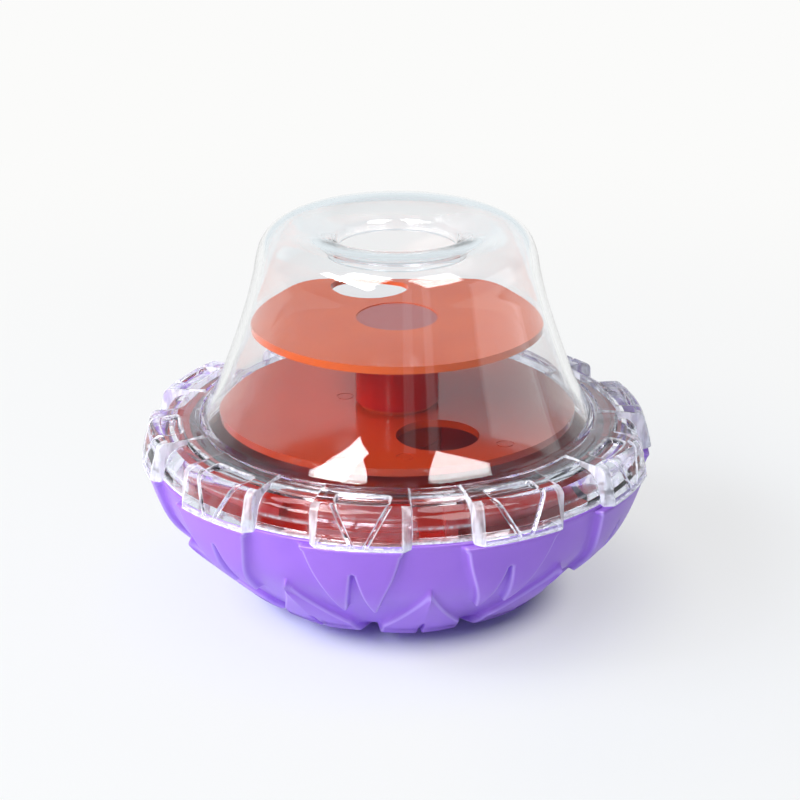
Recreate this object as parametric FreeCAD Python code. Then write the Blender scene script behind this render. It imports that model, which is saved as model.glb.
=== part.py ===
import FreeCAD, Part
import math
import os

from FreeCAD import Vector

# Wobble treat toy: a weighted bowl with petals, a catch tray, a spindle that carries two
# turning discs, a clear dome with a mouth, and a clear ring with ten grips that locks the
# dome down. Millimetres, +Z up, origin at the middle of the foot that the toy rests on.

# Petals and grips round the toy, and the hooks of the lock
PETAL_COUNT = 10
FIRST_PETAL_ANGLE = -99.9
FIRST_GRIP_ANGLE = -98.0
LOCK_COUNT = 5

# Radii, from the dome's foot outwards
DOME_FOOT_R = 59.0
TRAY_LIP_OUT = 3.0
TRAY_WALL = 2.0
HOOK_DEPTH = 3.6
CAVITY_CLEARANCE = 0.9
RING_SKIRT = 5.3
RELIEF = 2.4
GRIP_OUT = 0.8

# Heights, from the floor up
SEAM_Z = 46.0
SEAM_GAP = 0.3
GRIP_SEAM_DROP = 0.9
LEDGE_DROP = 3.0
TRAY_LIP_RISE = 9.3
DOME_FLANGE_THICKNESS = 1.8
RING_TOP_CLEARANCE = 0.3
RING_PLATE = 2.9
LOWER_DISC_RISE = 2.9
DISC_SPACING = 27.3
DOME_HEIGHT = 59.3

# Bowl. Its curve is in shares of the petals' radius and height.
BOWL_WALL = 2.6
FOOT_R = 16.0
FLOOR_THICKNESS = 3.0
FLOOR_EDGE_RISE = 0.65
BASE_EDGE_Z = 9.2
BASE_BULGE = 1.0
BOWL_CURVE = ((1.0, 1.0), (0.970, 0.843), (0.899, 0.598), (0.800, 0.421), (0.696, 0.255), (0.591, 0.122))
RIM_LEAN = 0.2
RIM_WALL = 3.7
LEDGE_REACH = 2.5
LEDGE_DEPTH = 1.5
GUSSET_DROP = 3.5

# Big petals, seen square on
PETAL_LENGTH = 25.5
PETAL_HALVES = (14.4, 11.9, 8.3, 4.9)
PETAL_TIP_INNER = 3.9
PETAL_ROOT = 5.2
NOTCH_LENGTH = 15.8
NOTCH_TOP_HALF = 0.8

# Small petals between them, lower down
LEAF_BOTTOM_Z = 5.0
LEAF_LENGTH = 22.2
LEAF_HALF = 11.2
LEAF_SIDE = 4.6
LEAF_WAIST_HALF = 4.7
LEAF_WAIST_RISE = 13.5
LEAF_ROOT_R = 36.0
LEAF_SLIT_HALF = 1.1
LEAF_SLIT_LENGTH = 6.5
LEAF_SLIT_DEPTH = 1.2

# Ballast and its screws
BALLAST_R = 34.0
BALLAST_Z = 8.0
BALLAST_THICKNESS = 7.5
BALLAST_CHAMFER = 0.8
BOSS_R = 6.0
BALLAST_BORE_CLEARANCE = 0.8
SCREW_COUNT = 3
SCREW_CIRCLE_R = 22.0
SCREW_BOSS_R = 3.4
SCREW_R = 1.5
SCREW_HEAD_R = 2.9
SCREW_HEAD_HEIGHT = 2.0
SCREW_LENGTH = 12.0
SCREW_CLEARANCE = 0.4
SCREW_TIP_SHARE = 0.4
HEAD_CROWN_SHARE = 0.33
PILOT_CLEARANCE = 0.05
PILOT_SPARE = 0.5
DRIVE_WIDTH = 0.8
DRIVE_DEPTH = 1.1
DRIVE_SHARE = 0.6

# Catch tray. Its curve is in shares of its inner radius and its depth.
UNDER_TRAY_GAP = 1.0
TRAY_FLAT_SPARE = 1.0
TRAY_CURVE = ((0.90, 0.38), (0.74, 0.145), (0.53, 0.03))
TRAY_FLANGE_THICKNESS = 2.0
FLANGE_CLEARANCE = 0.3
HOOK_DROP = 3.7
HOOK_THICKNESS = 1.8
HOOK_HALF_ANGLE = 15.0
STOP_ANGLE = 2.9
LUG_HALF_ANGLE = 13.0
LUG_THICKNESS = 2.0
LUG_CLEARANCE = 0.3
LUG_SIDE_CLEARANCE = 0.5
LUG_ROOT = 0.7

# Spindle and its screw
SPINDLE_R = 11.0
SPINDLE_WALL = 2.2
SPINDLE_CHAMFER = 0.5
SPINDLE_FLANGE_OUT = 1.6
SPINDLE_FLANGE_THICKNESS = 2.5
SPINDLE_CONE = 2.5
SPINDLE_WEB = 4.5
PEDESTAL_STEP = 2.4
TURN_CLEARANCE = 0.1
STACK_GAP = 0.3
CENTRE_SCREW_R = 2.0
CENTRE_SCREW_LENGTH = 18.0
CENTRE_HEAD_R = 3.8
CENTRE_HEAD_HEIGHT = 2.6

# Discs
DISC_THICKNESS = 2.3
DISC_EDGE_ROUND = 0.4
LOWER_DISC_GAP = 2.5
HUB_HEIGHT = 8.0
UPPER_DISC_GAP = 1.15
TUBE_WALL = 1.4
WEB_THICKNESS = 1.1
RECESS_DEPTH = 0.7
RECESS_INSET = 0.3
HOLE_RIM_BRIDGE = 1.6
HOLE_TUBE_BRIDGE = 4.7
LOWER_HOLE_ANGLE = -66.4
UPPER_HOLE_ANGLE = 107.0
PIN_MARK_R = 2.6
PIN_MARK_WIDTH = 0.35
PIN_MARK_DEPTH = 0.2
LOWER_PIN_MARKS = ((22.5, 138.0), (42.3, -42.0), (38.4, -90.0))

# Dome. Its curve runs from the foot to the throat, in shares of the way out and of its height.
DOME_WALL = 2.2
DOME_CURVE = ((0.894, 0.130), (0.797, 0.299), (0.713, 0.467), (0.640, 0.636), (0.595, 0.771),
              (0.574, 0.847), (0.527, 0.924), (0.436, 0.978), (0.315, 1.0), (0.179, 0.987), (0.063, 0.949))
THROAT_R = 17.6
THROAT_DROP = 5.4
THROAT_LENGTH = 2.9
DOME_FLANGE_REACH = 5.2

# Lock ring with its grips. An arc's middle lies TURN_SHARE of the way out along each side.
RING_BORE_CLEARANCE = 0.3
RING_LEDGE_IN = 8.2
RING_SHOULDER_IN = 1.2
RING_SHOULDER_RISE = 4.6
RING_STEP = 1.4
RING_CHAMFER = 1.2
RING_TURN_RISE = 0.66
TURN_SHARE = 0.72
GRIP_RISE = 0.8
GRIP_INNER_OUT = 1.6
GRIP_TOP_IN = 5.4
GRIP_TOP_FALL = 1.0
GRIP_SHOULDER_IN = 2.2
GRIP_SHOULDER_DROP = 3.8
GRIP_SIDE_OUT = 0.6
GRIP_BELLY = 0.2
GRIP_ROOT = 1.0
GRIP_CORNER = 2.6
SLOT_HALF = 7.5
SLOT_WIDTH = 5.4
SLOT_DEPTH = 2.0
SLOT_CORNER_R = 1.4
SLOT_EDGE_IN = 0.4
GROOVE_WIDTH = 1.6
GROOVE_DEPTH = 0.8
GROOVE_HALVES = (8.0, 7.3, 6.1, 2.1)
GROOVE_OVERLAP = 0.6
GROOVE_END_GAP = 1.6

# Clear of every face, for tools that cut right through
OVER = 5.0
FULL_TURN = 360.0
UP = Vector(0, 0, 1)
CENTRE = Vector(0, 0, 0)

# Radii and heights that follow from the sizes above
TRAY_INNER_R = DOME_FOOT_R + TRAY_LIP_OUT
TRAY_OUTER_R = TRAY_INNER_R + TRAY_WALL
HOOK_R = TRAY_OUTER_R + HOOK_DEPTH
RING_CAVITY_R = HOOK_R + CAVITY_CLEARANCE
BOWL_RIM_R = RING_CAVITY_R + RING_SKIRT
PETAL_R = BOWL_RIM_R + RELIEF
WELL_R = BOWL_RIM_R - RIM_WALL
TRAY_FLANGE_R = WELL_R - FLANGE_CLEARANCE
LEDGE_R = TRAY_FLANGE_R - LEDGE_REACH
GRIP_R = PETAL_R + GRIP_OUT
GRIP_TOP_R = GRIP_R - GRIP_TOP_IN
GRIP_SHOULDER_R = GRIP_R - GRIP_SHOULDER_IN
TUBE_BORE_R = SPINDLE_R + TURN_CLEARANCE
TUBE_R = TUBE_BORE_R + TUBE_WALL
PEDESTAL_R = SPINDLE_R + PEDESTAL_STEP
SPINDLE_FLANGE_R = PEDESTAL_R + SPINDLE_FLANGE_OUT

BOWL_TOP_Z = SEAM_Z - SEAM_GAP / 2
RING_BOTTOM_Z = SEAM_Z + SEAM_GAP / 2
PETAL_TOP_Z = BOWL_TOP_Z - GRIP_SEAM_DROP
GRIP_BOTTOM_Z = RING_BOTTOM_Z - GRIP_SEAM_DROP
PETAL_TIP_Z = PETAL_TOP_Z - PETAL_LENGTH
LEAF_SHOULDER_Z = LEAF_BOTTOM_Z + LEAF_SIDE
LEDGE_Z = SEAM_Z - LEDGE_DROP
TRAY_FLANGE_TOP_Z = LEDGE_Z + TRAY_FLANGE_THICKNESS
TRAY_TOP_Z = LEDGE_Z + TRAY_LIP_RISE
HOOK_Z = TRAY_TOP_Z - HOOK_DROP
DOME_FLANGE_TOP_Z = TRAY_TOP_Z + DOME_FLANGE_THICKNESS
DOME_FOOT_Z = DOME_FLANGE_TOP_Z + RING_TOP_CLEARANCE + RING_PLATE
DOME_TOP_Z = DOME_FOOT_Z + DOME_HEIGHT
GRIP_TOP_Z = DOME_FOOT_Z + GRIP_RISE
GRIP_SHOULDER_Z = GRIP_TOP_Z - GRIP_SHOULDER_DROP
LOWER_DISC_TOP_Z = DOME_FOOT_Z + LOWER_DISC_RISE
UPPER_DISC_TOP_Z = LOWER_DISC_TOP_Z + DISC_SPACING
BALLAST_TOP_Z = BALLAST_Z + BALLAST_THICKNESS
TRAY_UNDER_Z = BALLAST_TOP_Z + SCREW_HEAD_HEIGHT + UNDER_TRAY_GAP
TRAY_FLOOR_Z = TRAY_UNDER_Z + TRAY_WALL
SPINDLE_WEB_TOP_Z = TRAY_FLOOR_Z + SPINDLE_WEB
PEDESTAL_TOP_Z = LOWER_DISC_TOP_Z - DISC_THICKNESS - HUB_HEIGHT - STACK_GAP
UPPER_WEB_TOP_Z = UPPER_DISC_TOP_Z - RECESS_DEPTH
UPPER_WEB_Z = UPPER_WEB_TOP_Z - WEB_THICKNESS
SPINDLE_TOP_Z = UPPER_WEB_Z - STACK_GAP

PETAL_PITCH = FULL_TURN / PETAL_COUNT
LOCK_TURN = FULL_TURN / LOCK_COUNT / 2
FIRST_HOOK_ANGLE = FIRST_GRIP_ANGLE + PETAL_PITCH
GRIP_HALF_ANGLE = math.degrees(math.asin((PETAL_HALVES[0] + GRIP_SIDE_OUT) / GRIP_R))


def at(radius, height):
    """A point of a half section: radius from the axis, and height."""
    return Vector(radius, 0, height)


def line(start, end):
    return Part.LineSegment(start, end).toShape()


def arc(start, middle, end):
    return Part.Arc(start, middle, end).toShape()


def smooth(points):
    curve = Part.BSplineCurve()
    curve.interpolate(points)
    return curve.toShape()


def path(points):
    """Straight edges from point to point."""
    return [line(start, end) for start, end in zip(points, points[1:])]


def turned(edges):
    """The solid of revolution about Z of a closed half section."""
    face = Part.Face(Part.Wire(Part.__sortEdges__(edges)))
    solid = face.revolve(CENTRE, UP, FULL_TURN)
    if solid.Volume < 0:
        solid.reverse()
    return solid


def turned_points(points):
    return turned(path(points + points[:1]))


def moved_in(points, distance):
    """A curve's points moved along its normal, towards the axis side."""
    moved = []
    for index, point in enumerate(points):
        before = points[max(index - 1, 0)]
        after = points[min(index + 1, len(points) - 1)]
        along = (after - before).normalize()
        moved.append(point + Vector(along.z, 0, -along.x) * distance)
    return moved


def spun(shape, angle):
    copy = shape.copy()
    copy.rotate(CENTRE, UP, angle)
    return copy


def ring_of(shape, count, first_angle):
    """Copies of a shape made on the +X side, evenly spaced about Z."""
    return [spun(shape, first_angle + index * FULL_TURN / count) for index in range(count)]


def sector(inner_r, outer_r, low_z, high_z, start_angle, end_angle):
    """A block of a ring between two angles."""
    outline = [at(inner_r, low_z), at(outer_r, low_z), at(outer_r, high_z), at(inner_r, high_z)]
    face = Part.Face(Part.Wire(path(outline + outline[:1])))
    return spun(face.revolve(CENTRE, UP, end_angle - start_angle), start_angle)


def cylinder(radius, low_z, high_z, spot=CENTRE):
    return Part.makeCylinder(radius, high_z - low_z, Vector(spot.x, spot.y, low_z))


def prism(edges, direction):
    return Part.Face(Part.Wire(Part.__sortEdges__(edges))).extrude(direction)


def polar(radius, angle):
    return Vector(radius * math.cos(math.radians(angle)), radius * math.sin(math.radians(angle)), 0)


def screw_spots():
    return [polar(SCREW_CIRCLE_R, index * FULL_TURN / SCREW_COUNT) for index in range(SCREW_COUNT)]


def one_solid(shape):
    """The shape with split faces joined, as a single solid."""
    cleaned = shape.removeSplitter()
    return max(cleaned.Solids, key=lambda solid: solid.Volume)


def curve_radius(points, height):
    """Radius of a curve at a height, between its points."""
    ordered = sorted(points, key=lambda point: point.z)
    for low, high in zip(ordered, ordered[1:]):
        if low.z <= height <= high.z:
            share = (height - low.z) / (high.z - low.z)
            return low.x + (high.x - low.x) * share
    return ordered[-1].x if height > ordered[-1].z else ordered[0].x


def bowl_outer_points():
    """The curve that the petals' faces lie on, from the seam down."""
    return [at(PETAL_R * across, PETAL_TOP_Z * up) for across, up in BOWL_CURVE]


def dome_outer_points():
    """The dome's outside, from its foot up and in to the throat."""
    spread = DOME_FOOT_R - THROAT_R
    curve = [at(THROAT_R + spread * out, DOME_FOOT_Z + DOME_HEIGHT * up) for out, up in DOME_CURVE]
    return [at(DOME_FOOT_R, DOME_FOOT_Z)] + curve + [at(THROAT_R, DOME_TOP_Z - THROAT_DROP)]


def disc_radius(top_z, gap):
    """Radius of a disc that runs inside the dome with a gap all round."""
    side = [point for point in dome_outer_points() if point.z < DOME_TOP_Z - THROAT_DROP]
    return curve_radius(side, top_z) - DOME_WALL - gap


def bowl_body_points():
    """The bowl's own wall between the petals, from its rim to the edge of its base."""
    wall = moved_in(bowl_outer_points(), RELIEF)
    kept = [point for point in wall if BASE_EDGE_Z + RELIEF < point.z < PETAL_TOP_Z - RELIEF]
    edge = at(curve_radius(wall, BASE_EDGE_Z), BASE_EDGE_Z)
    return [at(BOWL_RIM_R, BOWL_TOP_Z), at(BOWL_RIM_R - RIM_LEAN, PETAL_TOP_Z)] + kept + [edge]


def base_arc(edge, foot_r, foot_z):
    """The rounded base, from the bowl's lower edge to its foot."""
    middle = at((edge.x + foot_r) / 2 + BASE_BULGE, (edge.z + foot_z) / 2 - BASE_BULGE)
    return arc(edge, middle, at(foot_r, foot_z))


def petal_skin(points, low_end, root):
    """The solid of revolution whose outside is the petals' curve, down to low_end."""
    top = points[0]
    skin = [smooth(points + [low_end])] + path([low_end, at(root, low_end.z), at(root, top.z), top])
    return turned(skin)


def big_petal():
    """One petal, on the +X side: two lobes with a notch between them."""
    points = bowl_outer_points()
    skin = petal_skin(points[:-2], points[-2], points[-2].x - PETAL_ROOT)
    tall = PETAL_TOP_Z + OVER
    step = PETAL_LENGTH / (len(PETAL_HALVES) - 1)
    notch_z = PETAL_TIP_Z + NOTCH_LENGTH

    def side(sign):
        edge = [Vector(0, sign * half, PETAL_TOP_Z - step * index) for index, half in enumerate(PETAL_HALVES)]
        inner = Vector(0, sign * PETAL_TIP_INNER, PETAL_TIP_Z)
        corner = Vector(0, sign * PETAL_HALVES[0], tall)
        notch = Vector(0, sign * NOTCH_TOP_HALF, notch_z)
        return [smooth(edge)] + path([corner, edge[0]]) + path([edge[-1], inner, notch])

    apex = arc(Vector(0, -NOTCH_TOP_HALF, notch_z), Vector(0, 0, notch_z + NOTCH_TOP_HALF),
               Vector(0, NOTCH_TOP_HALF, notch_z))
    lid = line(Vector(0, -PETAL_HALVES[0], tall), Vector(0, PETAL_HALVES[0], tall))
    return prism(side(-1) + side(1) + [apex, lid], Vector(PETAL_R + OVER, 0, 0)).common(skin)


def small_petal():
    """One low petal, on the +X side: an ogee point, a wide foot and a slit at its bottom."""
    points = [point for point in bowl_outer_points() if point.z < PETAL_TOP_Z - OVER]
    bottom = at(curve_radius(points, LEAF_BOTTOM_Z), LEAF_BOTTOM_Z)
    skin = petal_skin(points[:-1], bottom, LEAF_ROOT_R)
    out = Vector(PETAL_R + OVER, 0, 0)

    def side(sign):
        edge = [Vector(0, 0, LEAF_BOTTOM_Z + LEAF_LENGTH),
                Vector(0, sign * LEAF_WAIST_HALF, LEAF_BOTTOM_Z + LEAF_WAIST_RISE),
                Vector(0, sign * LEAF_HALF, LEAF_SHOULDER_Z)]
        return [smooth(edge), line(edge[-1], Vector(0, sign * LEAF_HALF, 0))]

    foot = line(Vector(0, -LEAF_HALF, 0), Vector(0, LEAF_HALF, 0))
    leaf = prism(side(-1) + side(1) + [foot], out).common(skin)
    slit_z = LEAF_BOTTOM_Z + LEAF_SLIT_LENGTH
    slit_top = Vector(0, 0, slit_z)
    slit = prism(path([slit_top, Vector(0, -LEAF_SLIT_HALF, 0), Vector(0, LEAF_SLIT_HALF, 0), slit_top]), out)
    bed = [at(curve_radius(points, slit_z) - LEAF_SLIT_DEPTH, slit_z), at(PETAL_R, slit_z), at(PETAL_R, 0),
           at(bottom.x - LEAF_SLIT_DEPTH, 0), at(bottom.x - LEAF_SLIT_DEPTH, LEAF_BOTTOM_Z)]
    return leaf.cut(slit.common(turned_points(bed)))


def bowl_well():
    """The space inside the bowl, with the ledge that the tray lies on."""
    inner_wall = moved_in(bowl_body_points()[1:], BOWL_WALL)
    under_ledge = LEDGE_Z - LEDGE_DEPTH
    gusset_z = under_ledge - GUSSET_DROP
    below = [point for point in inner_wall if point.z < gusset_z - RELIEF]
    floor_edge = at(below[-1].x - BOWL_WALL, below[-1].z + FLOOR_EDGE_RISE)
    gusset = at(curve_radius(inner_wall, gusset_z), gusset_z)
    top_z = BOWL_TOP_Z + OVER
    well = [smooth([gusset] + below[:-1] + [floor_edge]), base_arc(floor_edge, FOOT_R, FLOOR_THICKNESS)]
    well += path([at(FOOT_R, FLOOR_THICKNESS), at(0, FLOOR_THICKNESS), at(0, top_z), at(WELL_R, top_z),
                  at(WELL_R, LEDGE_Z), at(LEDGE_R, LEDGE_Z), at(LEDGE_R, under_ledge), gusset])
    return turned(well)


def make_bowl():
    """The petalled bowl: rounded base, ledge for the tray, and bosses for the screws."""
    wall = bowl_body_points()
    outer = [line(wall[0], wall[1]), smooth(wall[1:]), base_arc(wall[-1], FOOT_R, 0)]
    outer += path([at(FOOT_R, 0), at(0, 0), at(0, BOWL_TOP_Z), wall[0]])
    body = turned(outer)
    body = body.fuse(ring_of(big_petal(), PETAL_COUNT, FIRST_PETAL_ANGLE))
    body = body.fuse(ring_of(small_petal(), PETAL_COUNT, FIRST_PETAL_ANGLE + PETAL_PITCH / 2))
    bowl = body.cut(bowl_well())

    boss_foot = FLOOR_THICKNESS / 2
    screw_end = SPINDLE_WEB_TOP_Z - CENTRE_SCREW_LENGTH
    bowl = bowl.fuse(cylinder(BOSS_R, boss_foot, TRAY_UNDER_Z))
    bowl = bowl.cut(cylinder(CENTRE_SCREW_R + PILOT_CLEARANCE, screw_end - PILOT_SPARE, TRAY_UNDER_Z + OVER))
    bosses = [cylinder(SCREW_BOSS_R, boss_foot, BALLAST_Z, spot) for spot in screw_spots()]
    pilot_foot = BALLAST_TOP_Z - SCREW_LENGTH - PILOT_SPARE
    pilot_r = SCREW_R + PILOT_CLEARANCE
    pilots = [cylinder(pilot_r, pilot_foot, BALLAST_Z + OVER, spot) for spot in screw_spots()]
    return one_solid(bowl.fuse(bosses).cut(pilots))


def make_ballast():
    """The iron disc in the bottom of the bowl, round the middle boss."""
    bore = BOSS_R + BALLAST_BORE_CLEARANCE
    inner_edge = BALLAST_R - BALLAST_CHAMFER
    disc = turned_points([at(bore, BALLAST_Z), at(inner_edge, BALLAST_Z),
                          at(BALLAST_R, BALLAST_Z + BALLAST_CHAMFER),
                          at(BALLAST_R, BALLAST_TOP_Z - BALLAST_CHAMFER),
                          at(inner_edge, BALLAST_TOP_Z), at(bore, BALLAST_TOP_Z)])
    hole_r = SCREW_R + SCREW_CLEARANCE
    holes = [cylinder(hole_r, BALLAST_Z - OVER, BALLAST_TOP_Z + OVER, spot) for spot in screw_spots()]
    return disc.cut(holes)


def pan_screw(radius, length, head_r, head_height, seat_z, spot=CENTRE):
    """A pan head screw with a cross recess, its head standing on seat_z."""
    crown = head_height * HEAD_CROWN_SHARE
    tip_z = seat_z - length
    top_z = seat_z + head_height
    screw = turned_points([at(0, tip_z), at(radius * SCREW_TIP_SHARE, tip_z), at(radius, tip_z + radius),
                           at(radius, seat_z), at(head_r, seat_z), at(head_r, top_z - crown),
                           at(head_r - crown, top_z), at(0, top_z)])
    reach = head_r * DRIVE_SHARE
    for across, along in ((reach, DRIVE_WIDTH / 2), (DRIVE_WIDTH / 2, reach)):
        corner = Vector(-across, -along, top_z - DRIVE_DEPTH)
        screw = screw.cut(Part.makeBox(2 * across, 2 * along, DRIVE_DEPTH + OVER, corner))
    screw.translate(spot)
    return screw


def make_ballast_screws():
    """Three screws that hold the ballast down on its bosses."""
    screws = [pan_screw(SCREW_R, SCREW_LENGTH, SCREW_HEAD_R, SCREW_HEAD_HEIGHT, BALLAST_TOP_Z, spot)
              for spot in screw_spots()]
    return Part.makeCompound(screws)


def make_tray():
    """The dish that catches the treats, with hooks for the lock ring round its rim."""
    depth = TRAY_TOP_Z - TRAY_FLOOR_Z
    flat_r = SPINDLE_FLANGE_R + TRAY_FLAT_SPARE
    dish = [at(TRAY_INNER_R * across, TRAY_FLOOR_Z + depth * up) for across, up in TRAY_CURVE]
    inner = [at(TRAY_INNER_R, TRAY_FLANGE_TOP_Z)] + dish + [at(flat_r, TRAY_FLOOR_Z)]
    outer = [at(TRAY_OUTER_R, LEDGE_Z)] + moved_in(inner, -TRAY_WALL)[1:-1] + [at(flat_r, TRAY_UNDER_Z)]
    edges = [smooth(inner), smooth(outer)]
    edges += path([inner[0], at(TRAY_INNER_R, TRAY_TOP_Z), at(TRAY_OUTER_R, TRAY_TOP_Z),
                   at(TRAY_OUTER_R, TRAY_FLANGE_TOP_Z), at(TRAY_FLANGE_R, TRAY_FLANGE_TOP_Z),
                   at(TRAY_FLANGE_R, LEDGE_Z), outer[0]])
    edges += path([inner[-1], at(0, TRAY_FLOOR_Z), at(0, TRAY_UNDER_Z), outer[-1]])
    tray = turned(edges)
    hook_top = HOOK_Z + HOOK_THICKNESS
    root = TRAY_OUTER_R - TRAY_WALL / 2
    hook = sector(root, HOOK_R, HOOK_Z, hook_top, -HOOK_HALF_ANGLE, HOOK_HALF_ANGLE)
    stop_foot = TRAY_FLANGE_TOP_Z - TRAY_FLANGE_THICKNESS / 2
    stop_end = -HOOK_HALF_ANGLE + STOP_ANGLE / 2
    stop = sector(root, HOOK_R, stop_foot, hook_top, stop_end - STOP_ANGLE, stop_end)
    tray = tray.fuse(ring_of(hook, LOCK_COUNT, FIRST_HOOK_ANGLE))
    tray = tray.fuse(ring_of(stop, LOCK_COUNT, FIRST_HOOK_ANGLE))
    return one_solid(tray.cut(cylinder(CENTRE_SCREW_R + SCREW_CLEARANCE, 0, TRAY_FLOOR_Z + OVER)))


def make_spindle():
    """The hollow post that the discs turn on, with a pedestal below and a screwed foot."""
    inner = SPINDLE_R - SPINDLE_WALL
    screw_hole = CENTRE_SCREW_R + SCREW_CLEARANCE
    flange_top = TRAY_FLOOR_Z + SPINDLE_FLANGE_THICKNESS
    return turned_points([at(screw_hole, TRAY_FLOOR_Z), at(SPINDLE_FLANGE_R, TRAY_FLOOR_Z),
                          at(SPINDLE_FLANGE_R, flange_top), at(PEDESTAL_R, flange_top + SPINDLE_CONE),
                          at(PEDESTAL_R, PEDESTAL_TOP_Z), at(SPINDLE_R, PEDESTAL_TOP_Z),
                          at(SPINDLE_R, SPINDLE_TOP_Z - SPINDLE_CHAMFER),
                          at(SPINDLE_R - SPINDLE_CHAMFER, SPINDLE_TOP_Z), at(inner, SPINDLE_TOP_Z),
                          at(inner, SPINDLE_WEB_TOP_Z), at(screw_hole, SPINDLE_WEB_TOP_Z)])


def make_spindle_screw():
    return pan_screw(CENTRE_SCREW_R, CENTRE_SCREW_LENGTH, CENTRE_HEAD_R, CENTRE_HEAD_HEIGHT,
                     SPINDLE_WEB_TOP_Z)


def treat_hole(angle, top_z):
    """A hole in a disc, as wide as fits between the tube and the upper disc's rim."""
    outer = disc_radius(UPPER_DISC_TOP_Z, UPPER_DISC_GAP) - HOLE_RIM_BRIDGE
    inner = TUBE_R + HOLE_TUBE_BRIDGE
    spot = polar((outer + inner) / 2, angle)
    return cylinder((outer - inner) / 2, top_z - DISC_THICKNESS - OVER, top_z + OVER, spot)


def make_lower_disc():
    """The wide disc on its hub, with one treat hole and the round marks of the mould's pins."""
    top = LOWER_DISC_TOP_Z
    under = top - DISC_THICKNESS
    rim = disc_radius(top, LOWER_DISC_GAP)
    edge = DISC_EDGE_ROUND
    disc = turned_points([at(TUBE_BORE_R, under - HUB_HEIGHT), at(PEDESTAL_R, under - HUB_HEIGHT),
                          at(PEDESTAL_R, under), at(rim - edge, under), at(rim, under + edge),
                          at(rim, top - edge), at(rim - edge, top), at(TUBE_BORE_R, top)])
    disc = disc.cut(treat_hole(LOWER_HOLE_ANGLE, top))
    marks = []
    for out, angle in LOWER_PIN_MARKS:
        spot = polar(out, angle)
        outer = cylinder(PIN_MARK_R, top - PIN_MARK_DEPTH, top + OVER, spot)
        marks.append(outer.cut(cylinder(PIN_MARK_R - PIN_MARK_WIDTH, under, top + 2 * OVER, spot)))
    return disc.cut(marks)


def make_upper_disc():
    """The smaller disc with the tube below it that turns on the spindle."""
    top = UPPER_DISC_TOP_Z
    under = top - DISC_THICKNESS
    rim = disc_radius(top, UPPER_DISC_GAP)
    edge = DISC_EDGE_ROUND
    foot = LOWER_DISC_TOP_Z + STACK_GAP
    recess_r = TUBE_R - RECESS_INSET
    disc = turned_points([at(TUBE_BORE_R, foot), at(TUBE_R, foot), at(TUBE_R, under), at(rim - edge, under),
                          at(rim, under + edge), at(rim, top - edge), at(rim - edge, top), at(recess_r, top),
                          at(recess_r, UPPER_WEB_TOP_Z), at(0, UPPER_WEB_TOP_Z), at(0, UPPER_WEB_Z),
                          at(TUBE_BORE_R, UPPER_WEB_Z)])
    return disc.cut(treat_hole(UPPER_HOLE_ANGLE, top))


def make_dome():
    """The clear dome: a flared bell whose top dips into a round mouth, on a flat flange."""
    outer = dome_outer_points()
    inside_r = DOME_FOOT_R - DOME_WALL
    throat_end = outer[-1].z - THROAT_LENGTH
    inner = [at(inside_r, DOME_FOOT_Z)] + moved_in(outer, -DOME_WALL)[1:-1]
    inner.append(at(THROAT_R + DOME_WALL, throat_end))
    reach = DOME_FOOT_R + DOME_FLANGE_REACH
    edges = [smooth(outer), smooth(inner)]
    edges += path([outer[-1], at(THROAT_R, throat_end), inner[-1]])
    edges += path([outer[0], at(DOME_FOOT_R, DOME_FLANGE_TOP_Z), at(reach, DOME_FLANGE_TOP_Z),
                   at(reach, TRAY_TOP_Z), at(inside_r, TRAY_TOP_Z), inner[0]])
    return turned(edges)


def grip_outline_prism():
    """The plan of one grip, on the +X side, with bevelled outer corners."""
    inner_r = DOME_FOOT_R + GRIP_INNER_OUT
    low_out = polar(GRIP_R, -GRIP_HALF_ANGLE)
    high_out = polar(GRIP_R, GRIP_HALF_ANGLE)
    edges = path([high_out, polar(inner_r, GRIP_HALF_ANGLE), polar(inner_r, -GRIP_HALF_ANGLE), low_out])
    edges.append(arc(low_out, Vector(GRIP_R, 0, 0), high_out))
    block = prism(edges, UP * (GRIP_TOP_Z + OVER))
    corners = []
    for edge in block.Edges:
        middle = edge.valueAt((edge.FirstParameter + edge.LastParameter) / 2)
        if edge.BoundBox.ZLength > OVER and math.hypot(middle.x, middle.y) > GRIP_SHOULDER_R:
            corners.append(edge)
    return block.makeChamfer(GRIP_CORNER, corners)


def grip_profile():
    """Down a grip's front: its top's outer edge, the middle of its round, its shoulder, its foot."""
    outer_top = at(GRIP_TOP_R, GRIP_TOP_Z - GRIP_TOP_FALL)
    shoulder = at(GRIP_SHOULDER_R, GRIP_SHOULDER_Z)
    turn = at(GRIP_TOP_R + (GRIP_SHOULDER_R - GRIP_TOP_R) * TURN_SHARE,
              GRIP_SHOULDER_Z + (outer_top.z - GRIP_SHOULDER_Z) * TURN_SHARE)
    return [outer_top, turn, shoulder, at(GRIP_R, GRIP_BOTTOM_Z)]


def grip_section():
    """The solid that grips are cut from: a higher, further version of the ring's outside."""
    skirt = BOWL_RIM_R + SEAM_GAP
    root_r = RING_CAVITY_R + RELIEF
    root_z = DOME_FOOT_Z - RING_PLATE + GRIP_ROOT
    inner_r = DOME_FOOT_R + GRIP_INNER_OUT
    outer_top, turn, shoulder, foot = grip_profile()
    belly = at((GRIP_SHOULDER_R + GRIP_R) / 2 + GRIP_BELLY, (GRIP_SHOULDER_Z + GRIP_BOTTOM_Z) / 2)
    edges = [arc(outer_top, turn, shoulder), arc(shoulder, belly, foot)]
    edges += path([foot, at(skirt, GRIP_BOTTOM_Z), at(skirt, RING_BOTTOM_Z), at(root_r, RING_BOTTOM_Z),
                   at(root_r, root_z), at(inner_r, root_z), at(inner_r, GRIP_TOP_Z), outer_top])
    return turned(edges)


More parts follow.
